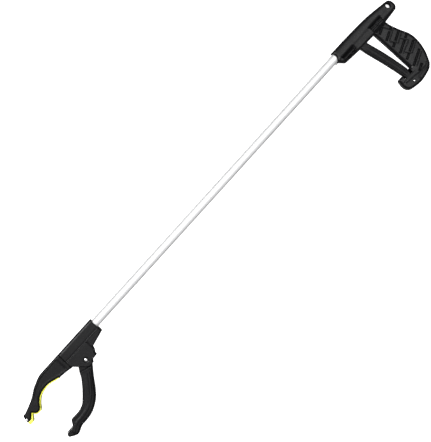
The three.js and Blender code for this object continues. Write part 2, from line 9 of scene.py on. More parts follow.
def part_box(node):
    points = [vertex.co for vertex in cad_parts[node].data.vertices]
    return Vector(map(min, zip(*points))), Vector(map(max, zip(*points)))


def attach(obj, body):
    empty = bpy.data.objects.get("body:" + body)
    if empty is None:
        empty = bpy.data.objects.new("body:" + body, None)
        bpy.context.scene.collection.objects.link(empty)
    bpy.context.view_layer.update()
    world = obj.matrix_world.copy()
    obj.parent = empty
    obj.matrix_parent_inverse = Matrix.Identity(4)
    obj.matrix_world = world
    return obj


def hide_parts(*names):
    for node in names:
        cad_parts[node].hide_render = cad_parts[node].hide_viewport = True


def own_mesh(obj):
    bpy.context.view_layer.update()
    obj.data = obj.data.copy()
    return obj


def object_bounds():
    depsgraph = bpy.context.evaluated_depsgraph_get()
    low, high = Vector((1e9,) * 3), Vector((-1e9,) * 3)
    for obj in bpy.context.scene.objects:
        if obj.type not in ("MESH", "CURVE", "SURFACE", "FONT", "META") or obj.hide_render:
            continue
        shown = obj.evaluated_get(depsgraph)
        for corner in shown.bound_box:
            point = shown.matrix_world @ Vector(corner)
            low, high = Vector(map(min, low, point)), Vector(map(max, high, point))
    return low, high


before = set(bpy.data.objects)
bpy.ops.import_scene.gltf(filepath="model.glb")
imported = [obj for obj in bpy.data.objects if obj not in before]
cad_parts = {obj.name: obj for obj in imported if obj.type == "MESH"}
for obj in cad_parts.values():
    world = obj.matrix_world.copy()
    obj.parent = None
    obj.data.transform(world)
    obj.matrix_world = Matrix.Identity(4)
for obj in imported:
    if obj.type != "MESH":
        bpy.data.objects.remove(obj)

CAD_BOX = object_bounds()

# All shapes are drawn in millimetres about the tube's axis, as in the CAD, and put in place at the end.
MM = 0.001
TUBE_LO, TUBE_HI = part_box("outer_tube")
AXIS_Y = (TUBE_LO.y + TUBE_HI.y) / 2
AXIS_Z = (TUBE_LO.z + TUBE_HI.z) / 2

SEAM_HALF = 0.15
FLOOR_GAP = 0.0002
GROOVE_POWER = 0.85


def node_box(node):
    """A CAD node's box in millimetres about the tube's axis."""
    shift = Vector((0, AXIS_Y, AXIS_Z))
    lo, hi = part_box(node)
    return (lo - shift) / MM, (hi - shift) / MM


# ---- Flat geometry -----------------------------------------------------------------------------


def spline_points(control, steps=12):
    """Points on a Catmull-Rom spline through the control points, without the first."""
    c = [control[0], *control, control[-1]]
    points = []
    for i in range(1, len(c) - 2):
        p0, p1, p2, p3 = (np.array(p, float) for p in c[i - 1:i + 3])
        for k in range(1, steps + 1):
            t = k / steps
            points.append(0.5 * (2 * p1 + (p2 - p0) * t + (2 * p0 - 5 * p1 + 4 * p2 - p3) * t * t
                                 + (3 * p1 - p0 - 3 * p2 + p3) * t ** 3))
    return points


def bend_points(start, control, end, steps=10):
    a, b, c = (np.array(p, float) for p in (start, control, end))
    ts = [k / steps for k in range(1, steps + 1)]
    return [(1 - t) ** 2 * a + 2 * t * (1 - t) * b + t * t * c for t in ts]


def arc_points(centre, radius, start, end, steps=24):
    """Points on an arc, with its angles in half turns."""
    angles = np.linspace(start * math.pi, end * math.pi, steps)
    return [np.array((centre[0] + radius * math.cos(a), centre[1] + radius * math.sin(a))) for a in angles]


def trace(start, *moves):
    """A closed outline from a start point and moves: lines, splines, bends and arcs."""
    points = [np.array(start, float)]
    for kind, *data in moves:
        if kind == "line":
            points += [np.array(p, float) for p in data]
        elif kind == "spline":
            points += spline_points([points[-1], *data])
        elif kind == "bend":
            points += bend_points(points[-1], *data)
        else:
            points += arc_points(*data)
    return np.array(points)


def dense(points, step=0.12):
    """The closed polyline with points at most a step apart."""
    out = []
    for a, b in zip(points, np.roll(points, -1, axis=0)):
        n = max(1, math.ceil(np.linalg.norm(b - a) / step))
        out += [a + (b - a) * k / n for k in range(n)]
    return np.array(out)


def outline(points, corner=0.5, longest=0.9, turn=math.radians(8)):
    """A closed outline with soft corners: close points on its bends, wider ones on its straights."""
    step = 0.12
    fine = dense(points, step)
    reach = max(1, round(3 * corner / step))
    weights = np.exp(-0.5 * (np.arange(-reach, reach + 1) * step / corner) ** 2)
    weights /= weights.sum()
    padded = np.vstack([fine[-reach:], fine, fine[:reach]])
    soft = np.stack([np.convolve(padded[:, k], weights, "valid") for k in (0, 1)], axis=1)
    kept = [soft[0]]
    turned = length = 0.0
    for i in range(1, len(soft) - 1):
        before, after = soft[i] - soft[i - 1], soft[i + 1] - soft[i]
        length += np.linalg.norm(before)
        cross = before[0] * after[1] - before[1] * after[0]
        turned += abs(math.atan2(cross, before @ after))
        if length > longest or turned > turn and length > step:
            kept.append(soft[i])
            turned = length = 0.0
    loop = np.array(kept)
    return loop if area(loop) > 0 else loop[::-1]


def area(loop):
    x, y = loop.T
    return 0.5 * np.sum(x * np.roll(y, -1) - y * np.roll(x, -1))


def circle(centre, radius, sides=40):
    angles = np.arange(sides) * 2 * math.pi / sides
    return np.stack([centre[0] + radius * np.cos(angles), centre[1] + radius * np.sin(angles)], axis=1)


def box_loop(x0, x1, y0, y1, slope=0.0, origin=(0, 0)):
    """A rectangle, turned by slope and moved to origin."""
    corners = np.array([[x0, y0], [x1, y0], [x1, y1], [x0, y1]], float)
    c, s = math.cos(slope), math.sin(slope)
    return corners @ np.array([[c, s], [-s, c]]) + np.array(origin)


def distance(points, line, closed=True):
    """Distance of each point from a polyline."""
    a = line if closed else line[:-1]
    b = np.roll(line, -1, axis=0) if closed else line[1:]
    run = b - a
    squared = np.maximum((run ** 2).sum(1), 1e-12)
    nearest = np.empty(len(points))
    for k in range(0, len(points), 4000):
        p = points[k:k + 4000, None, :]
        t = np.clip(((p - a) * run).sum(2) / squared, 0, 1)
        nearest[k:k + 4000] = np.sqrt((((p - a) - t[..., None] * run) ** 2).sum(2).min(1))
    return nearest


def inside(points, loop):
    a, b = loop, np.roll(loop, -1, axis=0)
    result = np.empty(len(points), bool)
    for k in range(0, len(points), 4000):
        x, y = points[k:k + 4000, 0, None], points[k:k + 4000, 1, None]
        spans = (a[:, 1] > y) != (b[:, 1] > y)
        rise = np.where(b[:, 1] == a[:, 1], 1e-12, b[:, 1] - a[:, 1])
        crossing = a[:, 0] + (y - a[:, 1]) * (b[:, 0] - a[:, 0]) / rise
        result[k:k + 4000] = (spans & (x < crossing)).sum(1) % 2 == 1
    return result


def depth_in(points, loop):
    """Distance from the loop, positive inside it."""
    return np.where(inside(points, loop), 1, -1) * distance(points, loop)


def normals(loop):
    """Outward directions at the points of a loop that runs anticlockwise."""
    along = np.roll(loop, -1, axis=0) - np.roll(loop, 1, axis=0)
    along /= np.maximum(np.linalg.norm(along, axis=1, keepdims=True), 1e-9)
    return np.stack([along[:, 1], -along[:, 0]], axis=1)


def rings(loop, offsets, spacing=None):
    """Points beside a loop, at the given distances inside it."""
    if spacing:
        loop = dense(loop, spacing)
    out = normals(loop)
    found = []
    for offset in offsets:
        ring = loop - out * offset
        found.append(ring[distance(ring, loop) > abs(offset) - 0.02])
    return np.vstack(found)


def beside_line(points, offsets, spacing=0.6):
    """Points beside an open polyline, on both sides."""
    line = np.array(points, float)
    found = []
    for a, b in zip(line[:-1], line[1:]):
        along = (b - a) / np.linalg.norm(b - a)
        across = np.array([-along[1], along[0]])
        steps = np.linspace(0, 1, max(2, math.ceil(np.linalg.norm(b - a) / spacing)))
        for offset in offsets:
            found.append(a + (b - a) * steps[:, None] + across * offset)
    return np.vstack(found)


def hex_grid(loop, pitch):
    lo, hi = loop.min(0), loop.max(0)
    rows = np.arange(lo[1], hi[1], pitch * math.sqrt(3) / 2)
    points = [np.stack([np.arange(lo[0] + (k % 2) * pitch / 2, hi[0], pitch),
                        np.full(len(np.arange(lo[0] + (k % 2) * pitch / 2, hi[0], pitch)), y)], axis=1)
              for k, y in enumerate(rows)]
    return np.vstack(points)


def thin(points, gap):
    """The points without those closer than a gap to an earlier one."""
    cells = {}
    kept = []
    for p in points:
        cx, cy = int(p[0] // gap), int(p[1] // gap)
        near = (q for i in (-1, 0, 1) for j in (-1, 0, 1) for q in cells.get((cx + i, cy + j), ()))
        if all((p[0] - q[0]) ** 2 + (p[1] - q[1]) ** 2 > gap * gap for q in near):
            cells.setdefault((cx, cy), []).append(p)
            kept.append(p)
    return np.array(kept)


def ease(x, a, b):
    """0 up to a, 1 from b, and smooth between them."""
    t = np.clip((x - a) / (b - a), 0, 1)
    return t * t * (3 - 2 * t)


def round_over(d, radius):
    """How far a surface lies under its flat at a distance d from a rounded edge."""
    d = np.clip(d, 0, radius)
    return radius - np.sqrt(np.maximum(radius ** 2 - (radius - d) ** 2, 0))


def hollow(d, reach):
    """How far down a groove goes, 0 to 1, at a distance inside its edge. It is a little fuller than a V."""
    return np.clip(d / reach, 0, 1) ** GROOVE_POWER


def round_steps(radius, count=6):
    """Distances from an edge that divide its round into equal angles."""
    return [radius * (1 - math.cos(math.pi / 2 * k / count)) for k in range(1, count + 1)]


# ---- Solids ------------------------------------------------------------------------------------
# A solid is (vertices, faces, wear), where wear is how near each vertex is to a worn edge.


def layer(loops, seeds, height):
    """A triangulated sheet inside the first loop and outside the others, lifted to its height."""
    border = np.vstack(loops)
    edges = []
    start = 0
    for loop in loops:
        n = len(loop)
        edges += [(start + k, start + (k + 1) % n) for k in range(n)]
        start += n
    points = np.vstack([border, seeds]) if len(seeds) else border
    result = delaunay_2d_cdt([Vector(p) for p in points], edges, [], 0, 1e-7)
    flat = np.array([(v.x, v.y) for v in result[0]])
    faces = np.array([f for f in result[2] if len(f) == 3])
    centres = flat[faces].mean(1)
    keep = inside(centres, loops[0])
    for hole in loops[1:]:
        keep &= ~inside(centres, hole)
    faces = faces[keep]
    a, b, c = (flat[faces[:, k]] for k in range(3))
    across = np.abs((b[:, 0] - a[:, 0]) * (c[:, 1] - a[:, 1]) - (b[:, 1] - a[:, 1]) * (c[:, 0] - a[:, 0]))
    faces = faces[(across > 1e-4) | (faces.max(1) >= len(border))]
    at = {}
    for j, sources in enumerate(result[3]):
        for i in sources:
            at.setdefault(i, j)
    solid = np.column_stack([flat, height(flat)])
    a, b, c = (flat[faces[:, k]] for k in range(3))
    clockwise = (b[:, 0] - a[:, 0]) * (c[:, 1] - a[:, 1]) < (b[:, 1] - a[:, 1]) * (c[:, 0] - a[:, 0])
    faces[clockwise] = faces[clockwise][:, ::-1]
    return solid, faces, [at[i] for i in range(len(border))]


def region_seeds(loops, rows, pitch):
    """Seeds inside the region: the given rows first, then an even grid."""
    grid = thin(hex_grid(loops[0], pitch), pitch * 0.4)
    points = np.vstack([*rows, grid]) if rows else grid
    points = points[inside(points, loops[0])]
    for hole in loops[1:]:
        points = points[~inside(points, hole)]
    clear = np.full(len(points), True)
    for loop in loops:
        clear &= distance(points, loop) > 0.05
    return thin(points[clear], 0.11)


def shrunk(loop, inset):
    """The loop moved inwards, and by less where that would fold it over."""
    step = np.full((len(loop), 1), inset)
    edge = np.roll(loop, -1, 0) - loop
    for _ in range(8):
        moved = loop - normals(loop) * step
        folded = ((np.roll(moved, -1, 0) - moved) * edge).sum(1) < 0.2 * (edge ** 2).sum(1)
        step[folded | np.roll(folded, 1)] *= 0.5
    return moved


def relief(loops, top, bottom, top_rows=(), bottom_rows=(), pitch=2.2, bottom_pitch=6.0, inset=0.0,
           parting=False):
    """A closed solid between two height fields. The first loop runs anticlockwise and holes clockwise."""
    loops = [loops[0], *(hole if area(hole) < 0 else hole[::-1] for hole in loops[1:])]
    top_points, top_faces, top_edge = layer(loops, region_seeds(loops, list(top_rows), pitch), top)
    inner = [shrunk(loop, inset) for loop in loops] if inset else loops
    low_points, low_faces, low_edge = layer(
        inner, region_seeds(inner, list(bottom_rows), bottom_pitch), bottom)
    verts = [top_points, low_points]
    base = len(top_points)
    faces = [tuple(f) for f in top_faces] + [tuple(base + f[::-1]) for f in low_faces]
    count = base + len(low_points)
    start = 0
    for loop in loops:
        n = len(loop)
        top_ring = [top_edge[start + k] for k in range(n)]
        low_ring = [base + low_edge[start + k] for k in range(n)]
        top_z = top_points[top_ring, 2]
        low_z = low_points[[low_edge[start + k] for k in range(n)], 2]
        out = normals(loop)
        rows = []
        if inset:
            rows.append(np.column_stack([loop, np.minimum(low_z + inset, (top_z + low_z) / 2)]))
        if parting:
            for z, proud in ((0.14, 0.0), (0.0, 0.07), (-0.14, 0.0)):
                rows.append(np.column_stack([loop + out * proud, np.full(n, z)]))
        previous = top_ring
        for row in rows:
            verts.append(row)
            ring = list(range(count, count + n))
            count += n
            faces += bridge(previous, ring)
            previous = ring
        faces += bridge(previous, low_ring)
        start += n
    verts = np.vstack(verts)
    reach = distance(verts[:, :2], loops[0])
    return verts, faces, np.exp(-reach / 0.9)


def bridge(upper, lower):
    n = len(upper)
    return [(upper[k], lower[k], lower[(k + 1) % n], upper[(k + 1) % n]) for k in range(n)]


def plate(loop, half, edge, holes=(), pitch=2.5, extra=None, rows=(), parting=True):
    """A plate on the middle plane with rounded edges; extra is added to its height on both faces."""
    loops = [loop, *holes]

    def face(points):
        d = distance(points, loop)
        z = half - round_over(d, edge)
        return z + extra(points, d) if extra else z

    seeds = [rings(loop, round_steps(edge)), *rows]
    return relief(loops, face, lambda p: -face(p), seeds, seeds, pitch, pitch, parting=parting)


def prism(loop, low, high, edge=0.3):
    """A block with the given outline, between two heights."""
    seeds = [rings(loop, round_steps(edge, 3))]
    middle, half = (low + high) / 2, (high - low) / 2

    def rise(points):
        return half - round_over(distance(points, loop), edge)

    return relief([loop], lambda p: middle + rise(p), lambda p: middle - rise(p), seeds, seeds, 4, 4)


def fork(loop, inner, outer):
    """Two blocks with the same outline, one on each side of the middle plane."""
    return [prism(loop, inner, outer), prism(loop, -outer, -inner)]


def lathe(profile, centre, axis="z", sides=48):
    """A turned solid from a closed or open profile of (radius, height), about an axis through centre."""
    verts, rows = [], []
    for r, h in profile:
        if r == 0:
            rows.append([len(verts)])
            verts.append((0, 0, h))
        else:
            rows.append(list(range(len(verts), len(verts) + sides)))
            verts += [(r * math.cos(2 * math.pi * k / sides), r * math.sin(2 * math.pi * k / sides), h)
                      for k in range(sides)]
    faces = []
    for a, b in zip(rows[:-1], rows[1:]):
        for k in range(sides):
            k1 = (k + 1) % sides
            quad = [a[k % len(a)], a[k1 % len(a)], b[k1 % len(b)], b[k % len(b)]]
            faces.append(tuple(dict.fromkeys(quad)))
    if len(rows[0]) > 1:
        first, last = rows[0], rows[-1]
        faces += [(last[k], last[(k + 1) % sides], first[(k + 1) % sides], first[k]) for k in range(sides)]
    verts = np.array(verts, float)
    if axis == "x":
        verts = verts[:, [2, 0, 1]]
    return verts + np.array(centre, float), faces, np.zeros(len(verts))


def turn_over(solid):
    """The solid mirrored in the middle plane."""
    verts, faces, wear = solid
    return verts * np.array([1, 1, -1]), [tuple(reversed(f)) for f in faces], wear


def make(name, solids, finish, body, nodes=(), sharp=38):
    """One object from solids in millimetres: in place, shaded, riding on its body."""
    verts, faces, wear = [], [], []
    count = 0
    for v, f, w in solids:
        verts.append(v)
        wear.append(w)
        faces += [tuple(int(i) + count for i in face) for face in f]
        count += len(v)
    points = np.vstack(verts) * MM + np.array([0, AXIS_Y, AXIS_Z])
    mesh = bpy.data.meshes.new(name)
    mesh.from_pydata(points.tolist(), [], faces)
    mesh.validate()
    mesh.update()
    attribute = mesh.attributes.new("wear", "FLOAT", "POINT")
    attribute.data.foreach_set("value", np.concatenate(wear).astype(np.float32))
    mesh.shade_smooth()
    mesh.set_sharp_from_angle(angle=math.radians(sharp))
    obj = bpy.data.objects.new(name, mesh)
    bpy.context.scene.collection.objects.link(obj)
    obj.data.materials.append(finish)
    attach(obj, body)
    if nodes:
        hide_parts(*nodes)
    return obj


# ---- Materials ---------------------------------------------------------------------------------


class Finish:
    """A node material with helpers that add nodes and link them."""

    def __init__(self, name):
        self.material = bpy.data.materials.new(name)
        self.material.use_nodes = True
        self.tree = self.material.node_tree
        self.shader = self.tree.nodes["Principled BSDF"]
        self.place = self.node("ShaderNodeTexCoord").outputs["Object"]

    def node(self, kind, **values):
        node = self.tree.nodes.new(kind)
        for key, value in values.items():
            if key in node.inputs:
                node.inputs[key].default_value = value
            else:
                setattr(node, key, value)
        return node

    def link(self, output, target):
        self.tree.links.new(output, target)

    def stretched(self, scale):
        mapping = self.node("ShaderNodeMapping")
        mapping.inputs["Scale"].default_value = scale
        self.link(self.place, mapping.inputs["Vector"])
        return mapping.outputs["Vector"]

    def noise(self, scale, detail=2.0, rough=0.5, place=None):
        node = self.node("ShaderNodeTexNoise", Scale=scale, Detail=detail, Roughness=rough)
        self.link(place or self.place, node.inputs["Vector"])
        return node.outputs["Fac"]

    def cells(self, scale):
        node = self.node("ShaderNodeTexVoronoi", Scale=scale)
        self.link(self.place, node.inputs["Vector"])
        return node.outputs["Distance"]

    def spread(self, value, low, high, from_low=0.3, from_high=0.7):
        """The value's middle range stretched to low..high."""
        node = self.node("ShaderNodeMapRange")
        limits = {"From Min": from_low, "From Max": from_high, "To Min": low, "To Max": high}
        for key, number in limits.items():
            node.inputs[key].default_value = number
        self.link(value, node.inputs["Value"])
        return node.outputs["Result"]

    def sum(self, a, b, operation="ADD"):
        node = self.node("ShaderNodeMath", operation=operation)
        for source, target in ((a, node.inputs[0]), (b, node.inputs[1])):
            if isinstance(source, float):
                target.default_value = source
            else:
                self.link(source, target)
        return node.outputs["Value"]

    def colours(self, value, first, second):
        node = self.node("ShaderNodeMix", data_type="RGBA")
        self.link(value, node.inputs["Factor"])
        for source, target in ((first, node.inputs[6]), (second, node.inputs[7])):
            if isinstance(source, tuple):
                target.default_value = (*source, 1)
            else:
                self.link(source, target)
        return node.outputs[2]

    def bumps(self, *layers):
        """Stacked bumps, each a height, its strength and its depth in metres."""
        normal = None
        for height, strength, depth in layers:
            node = self.node("ShaderNodeBump", Strength=strength, Distance=depth)
            self.link(height, node.inputs["Height"])
            if normal:
                self.link(normal, node.inputs["Normal"])
            normal = node.outputs["Normal"]
        self.link(normal, self.shader.inputs["Normal"])

    def set(self, **values):
        for key, value in values.items():
            socket = self.shader.inputs[key.replace("_", " ")]
            socket.default_value = (*value, 1) if isinstance(value, tuple) else value


def moulded(name, dark, light, roughness, grain, shine, worn=(0.05, 0.05, 0.052)):
    """Black moulded plastic: spark-eroded grain, soft flow marks, and edges rubbed paler."""
    f = Finish(name)
    flow = f.noise(55.0, 3.0, 0.6, f.stretched((0.5, 1.0, 1.0)))
    patches = f.colours(f.spread(flow, 0.0, 1.0), dark, light)
    specks = f.spread(f.noise(2600.0, 1.0), 0.0, 0.35, 0.45, 0.8)
    tinted = f.colours(specks, patches, tuple(min(1.0, c * 1.9) for c in light))
    edge = f.node("ShaderNodeAttribute", attribute_name="wear").outputs["Fac"]
    rubbed = f.sum(edge, f.spread(f.noise(420.0, 4.0, 0.7), 0.0, 0.9, 0.42, 0.72), "MULTIPLY")
    f.link(f.colours(f.sum(rubbed, 0.13, "MULTIPLY"), tinted, worn), f.shader.inputs["Base Color"])
    varied = f.sum(f.spread(f.noise(130.0, 3.0, 0.6), roughness - 0.06, roughness + 0.07),
                   f.sum(rubbed, -0.12, "MULTIPLY"))
    f.link(varied, f.shader.inputs["Roughness"])
    scuffs = f.spread(f.noise(900.0, 2.0, 0.5, f.stretched((0.08, 1.0, 1.0))), 0.0, 1.0, 0.62, 0.8)
    f.bumps((f.cells(2400.0), grain, 0.00006), (f.noise(5200.0, 2.0), grain * 0.7, 0.00003),
            (f.noise(60.0, 2.0), 0.05, 0.0006), (scuffs, 0.05, 0.00003))
    f.set(Specular_IOR_Level=shine)
    return f.material


def drawn_tube():
    """Satin anodised aluminium with faint lines drawn along the tube."""
    f = Finish("anodised_tube")
    lines = f.noise(1400.0, 3.0, 0.6, f.stretched((0.012, 1.0, 1.0)))
    cloud = f.noise(26.0, 3.0, 0.55, f.stretched((0.4, 1.0, 1.0)))
    tone = f.colours(f.spread(cloud, 0.0, 1.0), (0.86, 0.865, 0.87), (0.92, 0.92, 0.925))
    f.link(f.colours(f.spread(lines, 0.0, 0.25, 0.55, 0.8), tone, (0.76, 0.765, 0.775)),
           f.shader.inputs["Base Color"])
    f.link(f.spread(lines, 0.44, 0.54), f.shader.inputs["Roughness"])
    f.bumps((lines, 0.08, 0.00004), (f.noise(3600.0, 1.0), 0.05, 0.00002))
    f.set(Metallic=0.45, Specular_IOR_Level=0.5)
    return f.material


def rubber(name, base, pale, roughness):
    """Soft moulded rubber: a fine matt skin with dust-pale and grimy patches."""
    f = Finish(name)
    cloud = f.noise(240.0, 4.0, 0.6)
    skin = f.colours(f.spread(cloud, 0.0, 1.0), base, pale)
    grime = tuple(c * 0.62 for c in base)
    spots = f.spread(f.noise(900.0, 5.0, 0.7), 0.0, 0.5, 0.6, 0.85)
    f.link(f.colours(spots, skin, grime), f.shader.inputs["Base Color"])
    f.link(f.spread(f.noise(500.0, 3.0), roughness - 0.08, roughness + 0.1), f.shader.inputs["Roughness"])
    f.bumps((f.cells(3000.0), 0.12, 0.00005), (f.noise(700.0, 3.0), 0.12, 0.00012))
    f.set(Specular_IOR_Level=0.35)
    return f.material


def metal(name, base, stain, roughness, scratch=0.06):
    """Plated steel: turning marks, faint stains and small scratches."""
    f = Finish(name)
    cloud = f.noise(420.0, 4.0, 0.6)
    f.link(f.colours(f.spread(cloud, 0.0, 1.0, 0.45, 0.85), base, stain), f.shader.inputs["Base Color"])
    marks = f.noise(3800.0, 3.0, 0.6, f.stretched((1.0, 0.2, 1.0)))
    f.link(f.spread(marks, roughness - 0.05, roughness + 0.09), f.shader.inputs["Roughness"])
    f.bumps((marks, scratch, 0.00003), (f.noise(900.0, 3.0), scratch, 0.00005))
    f.set(Metallic=1.0)
    return f.material


def nylon():
    f = Finish("natural_nylon")
    cloud = f.noise(300.0, 3.0, 0.5)
    f.link(f.colours(f.spread(cloud, 0.0, 1.0), (0.74, 0.72, 0.66), (0.82, 0.81, 0.77)),
           f.shader.inputs["Base Color"])
    f.link(f.spread(cloud, 0.42, 0.55), f.shader.inputs["Roughness"])
    f.bumps((f.noise(1500.0, 3.0), 0.08, 0.00004))
    return f.material


HANDLE = moulded("handle_plastic", (0.0035, 0.0035, 0.004), (0.007, 0.007, 0.0075), 0.28, 0.14, 0.28)
COVER = moulded("cover_plastic", (0.003, 0.003, 0.0035), (0.006, 0.006, 0.0065), 0.27, 0.14, 0.13)
TRIGGER = moulded("trigger_plastic", (0.003, 0.003, 0.0035), (0.006, 0.006, 0.0065), 0.3, 0.12, 0.2)
JAW = moulded("jaw_plastic", (0.0025, 0.0025, 0.003), (0.005, 0.005, 0.0055), 0.3, 0.14, 0.14)
TUBE = drawn_tube()
YELLOW = rubber("yellow_rubber", (0.86, 0.86, 0.07), (0.94, 0.94, 0.12), 0.55)
BLACK_RUBBER = rubber("black_rubber", (0.02, 0.02, 0.021), (0.035, 0.035, 0.035), 0.72)
BRIGHT = metal("bright_nickel", (0.72, 0.72, 0.72), (0.6, 0.6, 0.6), 0.27)
ZINC = metal("dark_zinc", (0.33, 0.33, 0.34), (0.2, 0.2, 0.2), 0.36, 0.12)
WIRE = metal("zinc_wire", (0.62, 0.62, 0.63), (0.45, 0.45, 0.44), 0.3, 0.1)
NYLON = nylon()

# ---- Handle ------------------------------------------------------------------------------------

HOUSING_HALF = 12.0
HOUSING_EDGE = 3.6
HOUSING_TOP_EDGE = 4.6
GRIP_FACE = 13.55
GRIP_EDGE = 4.0
POCKET_HALF = 9.3
HOLLOW_HALF = 9.6
THINNEST_WALL = 0.4
SOCKET_R = 6.65
SOCKET_END = 320.2
GRIP_TOP_Y = -17.8
MOUTH_LIP = (283.5, 292.0, -7.9, -6.7)
HANGING_HOLE = (398.0, -5.5)
HANGING_HOLE_R = 3.7
TRIGGER_PIVOT = (342.7, -107.8)
PIN_HOLE_R = 1.75
HOUSING = outline(trace(
    (289.5, 8.9),
    ("spline", (327, 8.3), (365, 6.3), (400.5, 0.9)),
    ("spline", (404.6, -1.6), (406.5, -8), (405.4, -13.6), (402, -17.2)),
    ("line", (380, -18.9), (353.1, -19.6), (320.8, -18.5), (295.2, -16.2), (287.4, -6.9), (290.8, -2.2)),
    ("bend", (292.8, 3.6), (289.5, 8.9))))
FOOT_MOVES = (
    ("bend", (326.6, -90.2), (326.2, -92.8)),
    ("line", (324.9, -99.3), (324.9, -103.4)),
    ("bend", (325.8, -112), (334, -113.8)),
    ("bend", (343, -116), (352, -116)),
    ("spline", (362, -114.2), (370.6, -111.8), (377.4, -106.4)),
    ("spline", (384.4, -93), (388.6, -79), (389.9, -66), (388.4, -54.5), (383.6, -42), (378.9, -28)))
GRIP = outline(trace((353.1, GRIP_TOP_Y), ("line", (353.1, -90.2), (329.2, -90.2)), *FOOT_MOVES,
                     ("line", (377.4, GRIP_TOP_Y))))
NOTCH = ((350.6, -90.2), (350.6, -97), (334.8, -97), (334.8, -90.2))
HANDLE_OUTLINE = outline(trace(
    (289.5, 8.9),
    ("spline", (327, 8.3), (365, 6.3), (400.5, 0.9)),
    ("spline", (404.6, -1.6), (406.5, -8), (405.4, -13.6), (402, -17.2)),
    ("line", (380, -18.9), (377.6, -19.1), (378.9, -28)),
    ("spline", (383.6, -42), (388.4, -54.5), (389.9, -66), (388.6, -79), (384.4, -93), (377.4, -106.4)),
    ("spline", (370.6, -111.8), (362, -114.2), (352, -116)),
    ("bend", (343, -116), (334, -113.8)),
    ("bend", (325.8, -112), (324.9, -103.4)),
    ("line", (324.9, -99.3), (326.2, -92.8)),
    ("bend", (326.6, -90.2), (329.2, -90.2)),
    ("line", *reversed(NOTCH), (353.1, -90.2), (353.1, -19.6), (320.8, -18.5), (295.2, -16.2),
     (287.4, -6.9), (290.8, -2.2)),
    ("bend", (292.8, 3.6), (289.5, 8.9))), corner=0.35)

# Tread rows: first y, the rib that breaks the row, and its end, all along a slope.
TREAD_SLOPE = math.radians(23.5)
TREAD_START_X = 357.4
TREAD_HALF_WIDTH = 1.95
TREAD_DEPTH = 2.8
TREAD_RIB = 1.2
TREAD_ROWS = ((-25.1, 368.8, 374.4), (-38.55, 372.2, 377.4), (-52.0, 365.1, 382.0), (-65.45, 377.7, 385.6),
              (-78.9, 367.6, 385.4), (-92.35, None, 381.5), (-103.3, None, 368.6))
RIDGE_HALF_WIDTH = 0.62
RIDGE_RISE = 0.5
RIDGES = (((368.6, -21.6), (373.5, -34.2)), ((374.6, -34.9), (360.6, -41.6)),
          ((359.6, -42.2), (366.2, -53.0)), ((367.0, -53.0), (381.4, -46.0)),
          ((373.8, -51.4), (379.8, -61.6)), ((379.4, -61.8), (360.8, -68.6)),
          ((362.6, -69.4), (369.3, -78.2)), ((369.3, -78.2), (385.2, -70.6)),
          ((360.4, -95.6), (380.0, -86.6)),
          ((331.5, -101.2), (345.0, -102.6), (360.0, -105.0), (369.0, -104.4), (374.5, -101.6)))
RECESSES = ((296.2, 320.6, -15.2, -8.0), (354.4, 378.2, -16.7, -8.4))
RECESS_RIBS = (((297.6, -11.4), (318.8, -11.4)), ((354.4, -12.3), (378.2, -12.3)))
RECESS_FLOOR = 8.2
RECESS_ROOF = 10.2
RECESS_REACH = 1.9
RIB_TOP = 11.6
RIB_HALF_WIDTH = 0.4
CROWN_Y = -3.0
CROWN_DROP = 1.0
FOLD_REACH = 4.2
FOLD_DROP = 2.6
HANDLE_SCREWS = ((300.5, -11.8), (385.5, -9.0), (366.5, -27.0), (380.0, -66.0), (365.0, -103.0))
HANDLE_TUBE_SCREW = (309.0, 0.0)
UPPER_HOLLOW = box_loop(357, 377, -58, -34)
LOWER_HOLLOW = box_loop(357, 378, -94, -73.5)
FOOT_POCKET = np.array([[334, -85], [335.9, -106], [337.6, -112.7], [348, -112.7], [351.9, -104],
                        [351.9, -85]])
LINK_POCKET = box_loop(318.8, 356, -16.6, 5.2)
TRIGGER_OPENING = box_loop(321.6, 352.7, -30, -16.5)
POCKETS = ((LINK_POCKET, POCKET_HALF), (TRIGGER_OPENING, POCKET_HALF), (FOOT_POCKET, POCKET_HALF),
           (UPPER_HOLLOW, HOLLOW_HALF), (LOWER_HOLLOW, HOLLOW_HALF))


def tread_boxes():
    """The tread's grooves as turned rectangles."""
    boxes = []
    for y, rib, end in TREAD_ROWS:
        spans = [(TREAD_START_X, end)] if rib is None else [
            (TREAD_START_X, rib - TREAD_RIB), (rib + TREAD_RIB, end)]
        for x0, x1 in spans:
            length = (x1 - x0) / math.cos(TREAD_SLOPE)
            origin = (x0, y + (x0 - TREAD_START_X) * math.tan(TREAD_SLOPE))
            boxes.append(box_loop(0, length, -TREAD_HALF_WIDTH, TREAD_HALF_WIDTH, TREAD_SLOPE, origin))
    return boxes


TREADS = tread_boxes()


